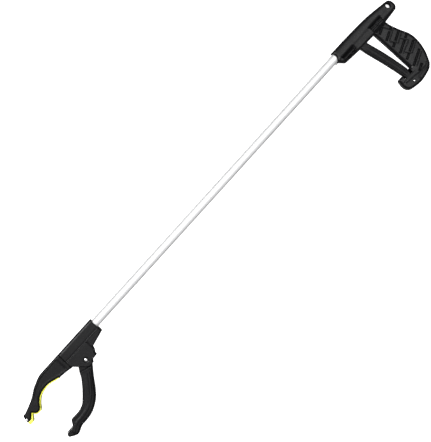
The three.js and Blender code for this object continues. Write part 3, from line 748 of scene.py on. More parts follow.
def housing_face(p):
    x, y = p.T
    d = np.maximum(depth_in(p, HOUSING), 0)
    edge = HOUSING_EDGE + (HOUSING_TOP_EDGE - HOUSING_EDGE) * ease(y, -5, 0)
    z = HOUSING_HALF - round_over(d, edge)
    z -= CROWN_DROP * ((np.clip(y, -9, None) - CROWN_Y) / 10.5) ** 2
    along = sum(ease(x, x0 - 0.8, x0 + 0.4) * (1 - ease(x, x1 - 0.4, x1 + 0.8)) for x0, x1, _, _ in RECESSES)
    fold = np.minimum(round_over(np.clip(y + 8.1, 0, None), FOLD_REACH), FOLD_DROP)
    z -= fold * along * (y > -8.1)
    z -= 0.28 * ease(-y, 5.6, 7.2) * (1 - along) * (x < 379)
    z -= round_over(np.clip(y + 18.6, 0, None), 6.5) * 0.8 * ease(x, 378.5, 380.5)
    for panel, rib in zip(RECESSES, RECESS_RIBS):
        depth = depth_in(p, box_loop(*panel))
        away = distance(p, np.array(rib, float), closed=False)
        floor = np.maximum(RECESS_FLOOR, RECESS_ROOF * ease(depth_in(p, LINK_POCKET), -1.2, -0.3))
        z -= (z - floor) * hollow(np.minimum(depth, away - RIB_HALF_WIDTH), RECESS_REACH)
        z = np.where((depth > 0) & (away < RIB_HALF_WIDTH), np.minimum(z, RIB_TOP), z)
    return z


def grip_face(p):
    x, y = p.T
    d = depth_in(p, GRIP)
    z = GRIP_FACE - round_over(np.maximum(d, 0), GRIP_EDGE) - 0.3 * ((x - 369) / 18) ** 2 * (y > -98)
    for box in TREADS:
        z -= TREAD_DEPTH * hollow(depth_in(p, box) + 0.1, TREAD_HALF_WIDTH - 0.15)
    for line in RIDGES:
        away = distance(p, np.array(line, float), closed=False)
        z += RIDGE_RISE * (1 - ease(away, 0.1, RIDGE_HALF_WIDTH))
    foot = ease(-y, 106.5, 109) * ease(x, 349, 353)
    z -= 0.5 * foot
    return np.where(d >= 0, z, GRIP_FACE - GRIP_EDGE + 40 * d)


def handle_face(pits):
    def face(p):
        z = np.maximum(housing_face(p), grip_face(p))
        z = np.maximum(z, handle_inside(p) + THINNEST_WALL)
        hole = np.hypot(p[:, 0] - HANGING_HOLE[0], p[:, 1] - HANGING_HOLE[1]) - HANGING_HOLE_R
        z -= round_over(hole, 1.1) * (hole < 1.1)
        pin = np.hypot(p[:, 0] - TRIGGER_PIVOT[0], p[:, 1] - TRIGGER_PIVOT[1]) - PIN_HOLE_R
        z -= round_over(pin, 0.35) * (pin < 0.35)
        return sink(p, z, pits)
    return face


def sink(p, z, pits):
    """The height with round pits sunk to their floors."""
    for x, y, radius, floor in pits:
        away = np.hypot(p[:, 0] - x, p[:, 1] - y)
        z = np.where(away < radius, floor, z)
        z = np.where((away >= radius) & (away < radius + 0.3), z - 0.3 * (1 - (away - radius) / 0.3), z)
    return z


def pit_rows(pits):
    return [rings(circle((x, y), radius, 32), (0.03, -0.03, -0.3)) for x, y, radius, _ in pits]


def handle_inside(p):
    z = np.full(len(p), SEAM_HALF)
    for loop, height in POCKETS:
        z = np.where(inside(p, loop), np.maximum(z, height), z)
    socket = np.sqrt(np.maximum(SOCKET_R ** 2 - p[:, 1] ** 2, SEAM_HALF ** 2))
    return np.where((p[:, 0] < SOCKET_END) & (np.abs(p[:, 1]) < SOCKET_R), np.maximum(z, socket), z)


def handle_shell(pits):
    loops = [HANDLE_OUTLINE, circle(HANGING_HOLE, HANGING_HOLE_R), circle(TRIGGER_PIVOT, PIN_HOLE_R, 24)]
    top = [rings(HANDLE_OUTLINE, round_steps(HOUSING_EDGE) + [HOUSING_TOP_EDGE]),
           rings(GRIP, [-0.04, 0.01, *round_steps(GRIP_EDGE)]),
           rings(loops[1], [-0.1, -0.3, -0.6, -1.1]), rings(loops[2], [-0.1, -0.35])]
    top += [rings(box, (-0.1, -0.02, 0.15, 0.5, 1.0, 1.5, 1.8), 0.6) for box in TREADS]
    top += [beside_line(line, (0, 0.2, -0.2, 0.42, -0.42, 0.66, -0.66)) for line in RIDGES]
    top += [rings(box_loop(*panel), (-0.03, 0.02, 0.15, 0.4, 0.8, 1.2), 0.6) for panel in RECESSES]
    beside_rib = (0, 0.38, -0.38, 0.44, -0.44, 0.6, -0.6, 0.9, -0.9, 1.4, -1.4)
    top += [beside_line(rib, beside_rib) for rib in RECESS_RIBS]
    for x0, x1, _, _ in RECESSES:
        fold = np.arange(x0 - 1.6, x1 + 1.6, 0.8)
        top += [np.stack([fold, np.full(len(fold), y)], axis=1) for y in np.arange(-8, -4, 0.4)]
    top += pit_rows(pits)
    low = [rings(pocket, (-0.03, 0.03), 1.2) for pocket, _ in POCKETS]
    rows = SOCKET_R * np.sin(np.linspace(-0.5, 0.5, 23) * math.pi)
    xs = np.append(np.arange(284, SOCKET_END, 4), (SOCKET_END - 0.03, SOCKET_END + 0.03))
    low += [np.array([(x, y) for x in xs for y in (*rows, SOCKET_R + 0.03, -SOCKET_R - 0.03)])]
    return relief(loops, handle_face(pits), handle_inside, top, low, pitch=1.9, inset=0.22)


x0, x1, y0, y1 = MOUTH_LIP
LIP_LOOP = outline(np.array([[x0, y1], [x0, y0], [x1, y0], [x1, y1]]), corner=0.25)
LIP_TOP = 3.5
PIT_R = 2.9
GRIP_PIT_FLOOR = 11.55
HOUSING_PIT_FLOOR = 9.6
TUBE_SCREW_PIT_FLOOR = 9.8
HANDLE_PITS = [(*at, PIT_R, GRIP_PIT_FLOOR if at[1] < GRIP_TOP_Y else HOUSING_PIT_FLOOR)
               for at in HANDLE_SCREWS]
HANDLE_PITS.append((*HANDLE_TUBE_SCREW, PIT_R, TUBE_SCREW_PIT_FLOOR))
lip = prism(LIP_LOOP, SEAM_HALF, LIP_TOP)
make("handle_shell_left_moulding", [handle_shell(()), lip], HANDLE, "frame", ["handle_shell_left"])
make("handle_shell_right_moulding", [turn_over(handle_shell(HANDLE_PITS)), turn_over(lip)], HANDLE, "frame",
     ["handle_shell_right"])

# ---- Trigger -----------------------------------------------------------------------------------

TRIGGER_HALF = 8.3
TRIGGER_FACE_DROP = 0.35
TRIGGER_EDGE = 2.3
ROD_SLOT_HALF = 1.7
TRIGGER_LEDGE_Y = -3.9
TRIGGER_LOOP = outline(trace(
    (324.4, -19.3),
    ("spline", (326.5, -33.5), (331.2, -56.5), (335.6, -82.5), (338.5, -106.4)),
    ("arc", TRIGGER_PIVOT, 4.3, 0.93, 2.12),
    ("spline", (348.9, -89.8), (347.4, -73.2), (344.3, -52.2), (341.1, -35.6), (337.7, -20.9)),
    ("line", (337.2, TRIGGER_LEDGE_Y), (325.2, TRIGGER_LEDGE_Y))), corner=0.6)
PRONG_LOOP = outline(np.array([[325.3, -5.6], [330, -5.6], [330, 3.4], [325.3, 3.4]]), corner=0.25)


def trigger_relief(p, d):
    """A long shallow hollow down the bar, a raised spine in it, and a boss around the pin."""
    y = p[:, 1]
    away = np.hypot(p[:, 0] - TRIGGER_PIVOT[0], y - TRIGGER_PIVOT[1])
    long = ease(-y, 24, 32) * (1 - ease(-y, 88, 98))
    hollow = 0.55 * ease(d, 2.7, 3.7) * long
    spine = 0.3 * ease(d, 4.6, 5.6) * long
    return spine - hollow + 0.35 * (1 - ease(away, 2.8, 3.4))


TRIGGER_ROWS = [rings(TRIGGER_LOOP, (2.7, 3.0, 3.3, 3.7, 4.6, 5.0, 5.6)),
                rings(circle(TRIGGER_PIVOT, 3.1, 32), (-0.3, 0, 0.3))]
make("trigger_moulding",
     [plate(TRIGGER_LOOP, TRIGGER_HALF - TRIGGER_FACE_DROP, TRIGGER_EDGE,
            [circle(TRIGGER_PIVOT, PIN_HOLE_R, 24)], 2.2, trigger_relief, TRIGGER_ROWS),
      *fork(PRONG_LOOP, ROD_SLOT_HALF, TRIGGER_HALF)],
     TRIGGER, "trigger_lever", ["trigger"])

# ---- Head and jaws -----------------------------------------------------------------------------

JAW_HALF = 11.0
SPINE_HALF = 8.5
COVER_INNER = 8.8
COVER_HALF = 12.4
EAR_HALF = 14.0
HEAD_FRONT_X = -303.6
HEAD_REAR_X = -233.9
FIXED_STEP_X = -303.95
FIXED_JAW_EDGE = 2.8
COVER_EDGE = 1.5
EAR_EDGE = 1.3
ARM_EDGE = 1.9
TOP_Y = 9.3
JAW_PIVOT = (-280.7, -26.5)
RIVET_HOLE_R = 2.6
PIVOT_BORE_R = 2.65
JAW_SWING = math.radians(27)
ROOT_STEP_R = 10.8
EAR_CLEARANCE = 0.35
ROOT_HALF = 8.5
LEVER_HALF = 6.5
LEVER_LENGTH = 32
TIP_MAGNET = (-403.7, -21.6)
MAGNET_HOLE_R = 1.85
LINER_LIFT = 1.7
LINER_SEAM = 1.4
LINER_HALF = 9.5
LINER_FACE = [(-373.4, -20.2), (-366.8, -14.9), (-360.1, -12), (-349.6, -10.7), (-340.2, -11.6),
              (-333.6, -13.6), (-326.9, -15.7)]
HEAD_SCREWS = ((-300.8, -3.0), (-250.5, -14.2), (-239.5, -11.2))
HEAD_TUBE_SCREW = (-245.0, 0.0)


def raised(points, dy):
    return [(x, y + dy) for x, y in points]


FIXED_JAW_LOOP = outline(trace(
    (-300.0, TOP_Y), ("line", (-338.9, TOP_Y)),
    ("spline", (-346.8, 8.3), (-356.2, 5), (-364.2, 1.8), (-373.4, -3.7), (-381.5, -7.6)),
    ("line", (-393.5, -11.6), (-400.2, -13.6), (-403.2, -13.1), (-404.9, -17.6), (-406.5, -25.6),
     (-398.6, -25.2), (-391.6, -19.2), (-388.2, -23.9)),
    ("bend", (-382.8, -27.6), (-378, -23.9)),
    ("spline", *raised(LINER_FACE, LINER_LIFT)),
    ("line", (-326.4, -15.2), (-320.3, -15.9), (-312.3, -17), (-303.9, -18.8), (-300.0, -19.2))), corner=0.4)
BACKBONE_LOOP = outline(np.array([
    [-305.5, TOP_Y], [-305.5, -17.0], [-302, -19.2], [-298.2, -19.2], [-298.2, 6.6], [-254.9, 6.6],
    [-254.9, TOP_Y]]), corner=0.2)


def fixed_jaw_relief(p, d):
    """A sunk web inside a raised border, a raised pad behind the tip, and a ring around the magnet."""
    x = p[:, 0]
    web = ease(d, 2.9, 3.9) * ease(x, -377, -372) * (1 - ease(x, -311, -308))
    away = np.hypot(x - TIP_MAGNET[0], p[:, 1] - TIP_MAGNET[1])
    beyond = (x > FIXED_STEP_X) * -4.0
    return beyond - 0.55 * web - 0.25 * (1 - ease(away, 2.2, 2.6)) * (away > MAGNET_HOLE_R)


FIXED_ROWS = [rings(FIXED_JAW_LOOP, (2.9, 3.15, 3.4, 3.65, 3.9)),
              rings(circle(TIP_MAGNET, 2.4, 24), (-0.2, 0, 0.2)),
              beside_line(((FIXED_STEP_X, TOP_Y), (FIXED_STEP_X, -18.6)), (-0.03, 0.03))]


def collar():
    """The block that holds the tube's end: a rectangle outside, round inside."""
    sides = 64
    angles = np.arange(sides) * 2 * math.pi / sides
    directions = np.stack([np.cos(angles), np.sin(angles)], axis=1)
    stations = []
    for x, low in ((-255.2, -19.2), (-234.1, -14.3)):
        outer = []
        for c, s in directions:
            reach = min((TOP_Y if c > 0 else -low) / max(abs(c), 1e-6), SPINE_HALF / max(abs(s), 1e-6))
            outer.append((x, c * reach, s * reach))
        stations.append((np.array(outer), np.column_stack([np.full(sides, x), directions * SOCKET_R])))
    verts = np.vstack([stations[0][0], stations[1][0], stations[1][1], stations[0][1]])
    rows = [list(range(k * sides, (k + 1) * sides)) for k in range(4)]
    faces = [f for k in range(4) for f in bridge(rows[(k + 1) % 4], rows[k])]
    return verts, faces, np.zeros(len(verts))


make("fixed_jaw_moulding",
     [plate(FIXED_JAW_LOOP, JAW_HALF, FIXED_JAW_EDGE, [circle(TIP_MAGNET, MAGNET_HOLE_R, 28)], 2.2,
            fixed_jaw_relief, FIXED_ROWS),
      plate(BACKBONE_LOOP, SPINE_HALF, 0.4, parting=False, pitch=4), collar()],
     JAW, "frame", ["fixed_jaw"])

LINER_BACK = raised(LINER_FACE, LINER_SEAM)[::-1]
LINER_LOOP = outline(trace(
    (-391.4, -20.9), ("line", (-388.6, -25.7)), ("bend", (-382.8, -29.4), (-377.9, -25.5)),
    ("spline", *LINER_FACE), ("line", LINER_BACK[0]), ("spline", *LINER_BACK[1:]),
    ("line", (-377.8, -24.3)), ("bend", (-382.8, -28), (-388.3, -24.3)),
    ("line", (-391.6, -19.7), (-398.5, -25.5), (-405.8, -25.9), (-405.3, -30.2), (-400.1, -29.9)),
    ("bend", (-398, -29.4), (-396.1, -26.2))), corner=0.22, longest=0.6)
make("fixed_jaw_liner_rubber", [plate(LINER_LOOP, LINER_HALF, 0.6, pitch=1.6)], YELLOW, "frame",
     ["fixed_jaw_liner"])

COVER_BASE = outline(np.array([[HEAD_FRONT_X, TOP_Y], [HEAD_REAR_X, TOP_Y], [HEAD_REAR_X, -14.3],
                               [-259, -20], [-275, -20], [HEAD_FRONT_X, -13.6]]), corner=0.4)
EAR_FRONT = (("line", (HEAD_FRONT_X, -15.6), (-294.4, -26.8)), ("arc", JAW_PIVOT, 10.4, 1.16, 1.6))
EAR_REAR = ((-275, -32.9), (-265.8, -32.4), (-265, -28.2), (-261.8, -24.3))
EAR = outline(trace(
    (HEAD_FRONT_X, -8), *EAR_FRONT, ("line", *EAR_REAR, (-260.5, -20.2), (-260.5, -10.5)),
    ("bend", (-260.5, -8), (-263, -8))), corner=0.4)
COVER_LOOP = outline(trace(
    (HEAD_FRONT_X, TOP_Y), *EAR_FRONT,
    ("line", *EAR_REAR, (-260.4, -19.7), (-259, -20), (HEAD_REAR_X, -14.3), (HEAD_REAR_X, TOP_Y))),
    corner=0.4)
COVER_PANEL = box_loop(-259.4, -235.6, -13.6, -8.2)
COVER_PANEL_FLOOR = 10.8
COVER_TOP_ROUND = 5.6


def cover_face(pits):
    def face(p):
        y = p[:, 1]
        base = COVER_HALF - round_over(np.maximum(depth_in(p, COVER_BASE), 0), COVER_EDGE)
        base -= round_over(np.clip(TOP_Y + 0.4 - y, 0, None), COVER_TOP_ROUND) * 0.62
        base -= 0.35 * (1 - ease(np.abs(y + 6.6), 0.15, 0.6)) * (p[:, 0] > HEAD_FRONT_X + 1.5)
        base -= (COVER_HALF - COVER_PANEL_FLOOR) * ease(depth_in(p, COVER_PANEL), 0, 0.5)
        d = depth_in(p, EAR)
        ear = EAR_HALF - round_over(np.maximum(d, 0), EAR_EDGE)
        boss = np.hypot(p[:, 0] - JAW_PIVOT[0], y - JAW_PIVOT[1])
        ear -= 0.35 * (1 - ease(boss, 3.5, 4.1))
        z = np.maximum(base, np.where(d >= 0, ear, EAR_HALF - EAR_EDGE + 40 * d))
        return np.maximum(sink(p, z, pits), COVER_INNER + 0.2)
    return face


def cover(pits):
    top = [rings(COVER_LOOP, round_steps(COVER_EDGE)), rings(EAR, [-0.04, 0.01, *round_steps(EAR_EDGE)]),
           rings(COVER_PANEL, (0, 0.15, 0.35, 0.5), 0.6), rings(circle(JAW_PIVOT, 3.8), (-0.3, 0, 0.3)),
           beside_line(((-303, -6.6), (-234, -6.6)), (0, 0.2, -0.2, 0.4, -0.4, 0.62, -0.62))]
    top += [beside_line(((-303, y), (-234, y)), (0,), 1.2) for y in np.arange(3.6, 9.2, 0.5)]
    top += pit_rows(pits)
    return relief([COVER_LOOP, circle(JAW_PIVOT, RIVET_HOLE_R, 36)], cover_face(pits),
                  lambda p: np.full(len(p), COVER_INNER), top, pitch=2.0)


HEAD_PIT_FLOORS = (10.0, 9.0, 9.0, 10.2)
HEAD_PITS = [(*at, PIT_R, bottom) for at, bottom in zip([*HEAD_SCREWS, HEAD_TUBE_SCREW], HEAD_PIT_FLOORS)]
make("head_cover_left_moulding", [cover(())], COVER, "frame", ["head_cover_left"])
make("head_cover_right_moulding", [turn_over(cover(HEAD_PITS))], COVER, "frame",
     ["head_cover_right"])

ARM_OUTER = [(-293.7, -52.4), (-304.4, -65.4), (-314.9, -75.4), (-328.2, -82.8), (-340.2, -85.9),
             (-354.9, -86.2)]
ARM_TIP = [(-361.4, -88.1), (-368.2, -90.8), (-374.6, -88.2)]
ARM_BITE = [(-380.7, -84.1), (-380.7, -80.2), (-379, -79), (-366.4, -78.4), (-361.8, -71.6), (-359.4, -68.9)]
ARM_INNER = [(-346.8, -69), (-337.6, -67.4), (-330.9, -64.1), (-320.3, -54.9), (-311, -45.5), (-304.4, -37.6)]
FINGER = (("spline", *ARM_OUTER), ("spline", *ARM_TIP), ("line", *ARM_BITE), ("spline", *ARM_INNER))
ARM = outline(trace((-279.2, -36), ("line", (-288.4, -46.2)), *FINGER,
                    ("line", (-301.2, -31), (-295, -32.8), (-290, -35))), corner=0.5)
JAW_LOOP = outline(trace(
    (-288.4, -46.2), *FINGER, ("line", (-300.6, -31), (-296.4, -25.4), (-287, -20.2)),
    ("arc", JAW_PIVOT, 8.0, 0.72, -0.18), ("line", (-274.4, -31.6), (-283, -40.2))), corner=0.45)
ARM_OUTER_LINE = np.array(spline_points([(-286, -43.5), *ARM_OUTER, *ARM_TIP]))
ARM_RIB_LINE = np.array(spline_points([(-292, -41), (-302, -53), (-313, -64.5), (-327, -73.6), (-343, -77.4),
                                       (-358, -78.2), (-370, -83.6)]))


def turned_ear(angle):
    """The ear's outline as the moving jaw meets it when it has closed by that angle."""
    c, s = math.cos(angle), math.sin(angle)
    return (EAR - np.array(JAW_PIVOT)) @ np.array([[c, s], [-s, c]]) + np.array(JAW_PIVOT)


EAR_SWEEP = [turned_ear(angle) for angle in np.linspace(0, JAW_SWING * 1.04, 9)]


def jaw_face(p):
    away = np.hypot(p[:, 0] - JAW_PIVOT[0], p[:, 1] - JAW_PIVOT[1])
    arm = np.minimum(depth_in(p, ARM), away - ROOT_STEP_R)
    for ear in EAR_SWEEP:
        arm = np.minimum(arm, -depth_in(p, ear) - EAR_CLEARANCE)
    z = JAW_HALF - round_over(np.maximum(arm, 0), ARM_EDGE)
    z -= 0.75 * round_over(distance(p, ARM_OUTER_LINE, closed=False), 5.2) * ease(away, 14, 22)
    z -= 0.4 * ease(distance(p, ARM_RIB_LINE, closed=False), 1.3, 2.3) * ease(arm, 2.2, 3.4)
    root = ROOT_HALF - round_over(distance(p, JAW_LOOP), 0.5)
    return np.maximum(np.where(arm >= 0, z, ROOT_HALF + 30 * arm), root)


def lever_loop(points):
    """An outline on the lever, which leans forward by half the jaw's swing at rest."""
    c, s = math.cos(JAW_SWING / 2), math.sin(JAW_SWING / 2)
    return outline(np.array(points, float) @ np.array([[c, s], [-s, c]]) + np.array(JAW_PIVOT), corner=0.25)


def moving_jaw():
    rows = [rings(JAW_LOOP, round_steps(ARM_EDGE)),
            rings(circle(JAW_PIVOT, ROOT_STEP_R, 72), (-ARM_EDGE, -0.9, -0.3, -0.02, 0.03)),
            rings(ARM, (0.02, -0.03))]
    rows += [rings(ear, (-0.33, -0.37, -1.2, -2.2)) for ear in (EAR_SWEEP[0], EAR_SWEEP[-1])]
    rows.append(beside_line(ARM_RIB_LINE, (0, 0.7, -0.7, 1.3, -1.3, 1.8, -1.8, 2.3, -2.3)))
    rows += [beside_line(ARM_OUTER_LINE, (k, -k), 0.9) for k in (2.6, 3.4, 4.2, 5.0)]
    body = relief([JAW_LOOP, circle(JAW_PIVOT, PIVOT_BORE_R, 32)], jaw_face, lambda p: -jaw_face(p),
                  rows, rows, 2.0, 2.0, parting=True)
    lever = lever_loop([(-4.8, 4), (4.8, 4), (2.2, 14), (2.2, 20.4), (-2.2, 20.4), (-2.2, 14)])
    prong = lever_loop([(-2.2, 19.9), (2.2, 19.9), (2.2, LEVER_LENGTH), (-2.2, LEVER_LENGTH)])
    return [body, prism(lever, -LEVER_HALF, LEVER_HALF), *fork(prong, ROD_SLOT_HALF, LEVER_HALF)]


make("moving_jaw_moulding", moving_jaw(), JAW, "jaw", ["moving_jaw"])

PAD_LOOP = outline(np.array([[-379.6, -78.7], [-366.8, -78.1], [-366.1, -76.8], [-369.0, -76.9],
                             [-369.4, -77.3], [-370.0, -77.3], [-370.4, -76.95], [-372.0, -77.0],
                             [-372.4, -77.4], [-373.0, -77.4], [-373.4, -77.05], [-375.0, -77.15],
                             [-375.4, -77.5], [-376.0, -77.5], [-376.4, -77.2], [-378.1, -77.4]]),
                   corner=0.14, longest=0.5)
make("moving_jaw_pad_rubber", [plate(PAD_LOOP, LINER_HALF, 0.35, pitch=2, parting=False)], BLACK_RUBBER,
     "jaw", ["moving_jaw_pad"])

# ---- Tube, pins, screws and spring -------------------------------------------------------------

TUBE_R = 6.35
TUBE_BORE_R = 5.35


def tube():
    lo, hi = node_box("outer_tube")
    xs = [lo.x + 0.35, *np.linspace(lo.x + 20, hi.x - 20, 24), hi.x - 0.35]
    outside = [(TUBE_R - 0.3, lo.x), *((TUBE_R, x) for x in xs), (TUBE_R - 0.3, hi.x)]
    return lathe([*outside, (TUBE_BORE_R, hi.x), (TUBE_BORE_R, lo.x)], (0, 0, 0), "x", 96)


make("outer_tube_drawn", [tube()], TUBE, "frame", ["outer_tube"])


def dome(radius, end, rise, dimple=0.0, count=6):
    """Profile points of a slightly domed end, from its rim to its middle."""
    points = []
    for k in range(count + 1):
        r = radius * math.cos(math.pi / 2 * k / count)
        points.append((r if k < count else 0, end - rise + rise * math.sin(math.pi / 2 * k / count)))
    if dimple:
        points = [(r, h) for r, h in points if r > dimple]
        points += [(dimple, end), (dimple * 0.82, end - 0.12), (dimple * 0.35, end - dimple * 0.7),
                   (0, end - dimple * 0.85)]
    return points


def pin(centre, radius, half, rise, dimple=0.0):
    upper = dome(radius, half, rise, dimple)
    lower = [(r, -h) for r, h in reversed(upper)]
    return lathe([*lower, *upper], (*centre, 0), "z", 56)


make("jaw_pivot_rivet_turned", [pin(JAW_PIVOT, 2.4, 13.75, 0.5)], BRIGHT, "frame",
     ["jaw_pivot_rivet"])
make("trigger_pivot_pin_turned", [pin(TRIGGER_PIVOT, 1.5, 13.4, 0.45)], BRIGHT, "frame",
     ["trigger_pivot_pin"])
make("tip_magnet_ground", [pin(TIP_MAGNET, 1.7, 10.85, 0.35)], BRIGHT, "frame", ["tip_magnet"])

SCREW_HEAD_R = 2.6
SCREW_HEAD_HALF = 0.9
CROSS_HALF_LENGTH = 1.55
CROSS_HALF_WIDTH = 0.36
THREAD = ((1.0, 0.3), (1.25, 0.5), (1.0, 0.7))


def screw(at, face, length):
    """A pan-head screw from the right side: domed head, cross recess and a threaded shaft."""
    rim = circle(at, SCREW_HEAD_R, 44)
    bars = [box_loop(-a, a, -b, b, 0.5, at) for a, b in
            ((CROSS_HALF_LENGTH, CROSS_HALF_WIDTH), (CROSS_HALF_WIDTH, CROSS_HALF_LENGTH))]

    def head(p):
        away = np.hypot(p[:, 0] - at[0], p[:, 1] - at[1])
        z = face - 0.5 * (away / SCREW_HEAD_R) ** 2 - round_over(SCREW_HEAD_R - away, 0.45)
        cross = np.maximum(*(depth_in(p, bar) for bar in bars))
        return z - 0.85 * ease(cross, -0.08, 0.14) * (1 - 0.35 * ease(away, 0.6, CROSS_HALF_LENGTH))

    rows = [rings(rim, (0.03, 0.12, 0.28, 0.45, 0.9, 1.5))]
    rows += [rings(bar, (-0.08, 0.02, 0.14), 0.3) for bar in bars]
    under = face - 2 * SCREW_HEAD_HALF
    cap = relief([rim], head, lambda p: np.full(len(p), under), rows, pitch=0.7, bottom_pitch=3)
    start, end, pitch = under + 0.05, face - length, 1.0
    turns = int((start - end - 1.5) / pitch)
    shaft = [(0, start), (1.0, start)]
    for k in range(turns):
        shaft += [(radius, start - k * pitch - down) for radius, down in THREAD]
    shaft += [(0.95, end + 0.8), (0, end)]
    return [turn_over(cap), turn_over(lathe(shaft[::-1], (*at, 0), "z", 20))]


# Name, place, the height of the head's face on the right side, and the length from that face to the tip.
# Head screws 2 and 3 are 2 mm shorter than the CAD's, so that no tip shows in the left cover's sunk panel.
SCREWS = [(f"handle_screw_{k + 1}", at, 13.4 if at[1] < GRIP_TOP_Y else 11.4, 18.0)
          for k, at in enumerate(HANDLE_SCREWS)]
SCREWS += [("head_screw_1", HEAD_SCREWS[0], 11.8, 22.0), ("head_screw_2", HEAD_SCREWS[1], 10.4, 20.0),
           ("head_screw_3", HEAD_SCREWS[2], 10.4, 20.0)]
SCREWS += [("tube_screw_handle", HANDLE_TUBE_SCREW, 11.6, 9.2),
           ("tube_screw_head", HEAD_TUBE_SCREW, 12.0, 9.2)]
for name, at, face, length in SCREWS:
    make(f"{name}_pan_head", screw(at, face, length), ZINC, "frame", [name])

SPRING_WIRE_R = 0.45
SPRING_TURNS = 8


def spring():
    """A closed-end compression spring."""
    lo, hi = node_box("return_spring")
    radius = (hi.y - lo.y) / 2 - SPRING_WIRE_R
    x0, x1 = lo.x + SPRING_WIRE_R, hi.x - SPRING_WIRE_R
    steps, sides = SPRING_TURNS * 28, 10
    centres = []
    for k in range(steps + 1):
        t = k / steps
        angle = 2 * math.pi * SPRING_TURNS * t
        x = x0 + (x1 - x0) * float(ease(np.array(t), 0.0, 1.0) * 0.35 + t * 0.65)
        centres.append((x, radius * math.cos(angle), radius * math.sin(angle)))
    centres = np.array(centres)
    along = np.gradient(centres, axis=0)
    along /= np.linalg.norm(along, axis=1, keepdims=True)
    out = centres * np.array([0, 1, 1]) / radius
    side = np.cross(along, out)
    rows, verts = [], []
    for k in range(steps + 1):
        rows.append(list(range(k * sides, (k + 1) * sides)))
        for j in range(sides):
            a = 2 * math.pi * j / sides
            verts.append(centres[k] + SPRING_WIRE_R * (math.cos(a) * out[k] + math.sin(a) * side[k]))
    faces = [f for a, b in zip(rows[:-1], rows[1:]) for f in bridge(b, a)]
    faces += [tuple(reversed(rows[0])), tuple(rows[-1])]
    return np.array(verts), faces, np.zeros(len(verts))


coil = make("return_spring_coil", [spring()], WIRE, "frame", ["return_spring"], sharp=60)
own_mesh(coil)

# ---- CAD nodes that stay -----------------------------------------------------------------------

KEPT = {"tube_plug_head": NYLON, "tube_plug_handle": NYLON, "pull_rod": WIRE, "rod_barrel_head": WIRE,
        "rod_barrel_handle": WIRE, "spring_washer": WIRE}
for node, finish in KEPT.items():
    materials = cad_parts[node].data.materials
    materials.clear()
    materials.append(finish)

# ---- Floor, light and camera -------------------------------------------------------------------

FLOOR_HALF = 4.0
FLOOR_BOUNCE = (0.1, 0.1, 0.1)
FLOOR_GLOW = 0.8


def floor():
    """It glows for the camera, so shadows stay faint, and bounces little light, so edges stay dark."""
    mesh = bpy.data.meshes.new("floor")
    r = FLOOR_HALF
    mesh.from_pydata([(-r, -r, 0), (r, -r, 0), (r, r, 0), (-r, r, 0)], [], [(0, 1, 2, 3)])
    obj = bpy.data.objects.new("floor", mesh)
    bpy.context.scene.collection.objects.link(obj)
    obj.location.z = CAD_BOX[0].z - FLOOR_GAP
    f = Finish("pale_floor")
    pale = f.colours(f.spread(f.noise(3.0, 2.0), 0.0, 1.0), (0.9, 0.9, 0.9), (0.93, 0.93, 0.93))
    seen = f.node("ShaderNodeLightPath").outputs["Is Camera Ray"]
    f.link(f.colours(seen, FLOOR_BOUNCE, pale), f.shader.inputs["Base Color"])
    f.link(f.sum(seen, FLOOR_GLOW, "MULTIPLY"), f.shader.inputs["Emission Strength"])
    f.set(Roughness=0.9, Specular_IOR_Level=0.1, Emission_Color=(1, 1, 1))
    mesh.materials.append(f.material)


def sky():
    """A soft studio: a large light overhead that falls off to a dim horizon."""
    world = bpy.data.worlds.new("studio")
    bpy.context.scene.world = world
    world.use_nodes = True
    tree = world.node_tree
    place = tree.nodes.new("ShaderNodeTexCoord")
    split = tree.nodes.new("ShaderNodeSeparateXYZ")
    ramp = tree.nodes.new("ShaderNodeValToRGB")
    tree.links.new(place.outputs["Generated"], split.inputs[0])
    tree.links.new(split.outputs["Z"], ramp.inputs["Fac"])
    stops = ((0.0, 0.03), (0.5, 0.07), (0.86, 0.16), (0.945, 0.45), (0.985, 2.2), (1.0, 2.4))
    elements = ramp.color_ramp.elements
    while len(elements) < len(stops):
        elements.new(0.5)
    for element, (position, value) in zip(elements, stops):
        element.position = position
        element.color = (value, value, value, 1)
    light = tree.nodes["Background"]
    tree.links.new(ramp.outputs["Color"], light.inputs["Color"])
    backdrop = tree.nodes.new("ShaderNodeBackground")
    backdrop.inputs["Color"].default_value = (0.86, 0.86, 0.87, 1)
    seen = tree.nodes.new("ShaderNodeLightPath")
    mix = tree.nodes.new("ShaderNodeMixShader")
    tree.links.new(seen.outputs["Is Camera Ray"], mix.inputs["Fac"])
    tree.links.new(light.outputs["Background"], mix.inputs[1])
    tree.links.new(backdrop.outputs["Background"], mix.inputs[2])
    tree.links.new(mix.outputs["Shader"], tree.nodes["World Output"].inputs["Surface"])


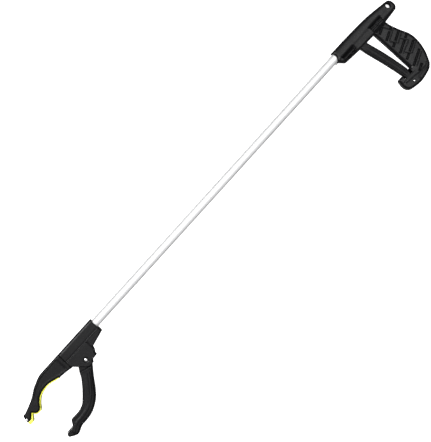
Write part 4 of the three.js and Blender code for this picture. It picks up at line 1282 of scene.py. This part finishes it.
def soft_light(name, at, size, power, target, mirrored=True):
    data = bpy.data.lights.new(name, "AREA")
    data.shape = "RECTANGLE"
    data.size, data.size_y = size
    data.energy = power
    obj = bpy.data.objects.new(name, data)
    obj.location = at
    obj.rotation_euler = (Vector(target) - Vector(at)).to_track_quat("-Z", "Y").to_euler()
    obj.visible_glossy = mirrored
    bpy.context.scene.collection.objects.link(obj)


# The camera looks straight down, turned so that the tube rises to the right.
VIEW_RIGHT = Vector((0.6717, -0.7410, 0))
VIEW_UP = Vector((0.7410, 0.6717, 0))
VIEW_CENTRE = Vector((-0.0040, 0.02305, 0.016))
VIEW_HEIGHT = 0.6466
VIEW_DISTANCE = 2.6
SENSOR_MM = 36


def camera():
    data = bpy.data.cameras.new("camera")
    data.sensor_width = SENSOR_MM
    data.lens = SENSOR_MM * VIEW_DISTANCE / VIEW_HEIGHT
    data.clip_end = 50
    obj = bpy.data.objects.new("camera", data)
    right, up = VIEW_RIGHT.normalized(), VIEW_UP.normalized()
    back = right.cross(up)
    obj.matrix_world = Matrix((
        (right.x, up.x, back.x, VIEW_CENTRE.x + back.x * VIEW_DISTANCE),
        (right.y, up.y, back.y, VIEW_CENTRE.y + back.y * VIEW_DISTANCE),
        (right.z, up.z, back.z, VIEW_CENTRE.z + back.z * VIEW_DISTANCE),
        (0, 0, 0, 1)))
    bpy.context.scene.collection.objects.link(obj)
    bpy.context.scene.camera = obj


LIGHT_HEIGHT = 1.7
HEAD_BAND_AT = (-0.45, 1.0, LIGHT_HEIGHT)
HEAD_BAND_AIM = (-0.27, 0.05, 0)
HEAD_BAND_POWER = 22
FILL_AT = (VIEW_CENTRE.x, VIEW_CENTRE.y, 3.2)
FILL_POWER = 110

floor()
sky()
soft_light("head_band", HEAD_BAND_AT, (0.7, 0.32), HEAD_BAND_POWER, HEAD_BAND_AIM)
soft_light("fill", FILL_AT, (2.0, 2.0), FILL_POWER, VIEW_CENTRE, mirrored=False)
camera()
bpy.context.scene.view_settings.view_transform = "Standard"
bpy.context.view_layer.update()
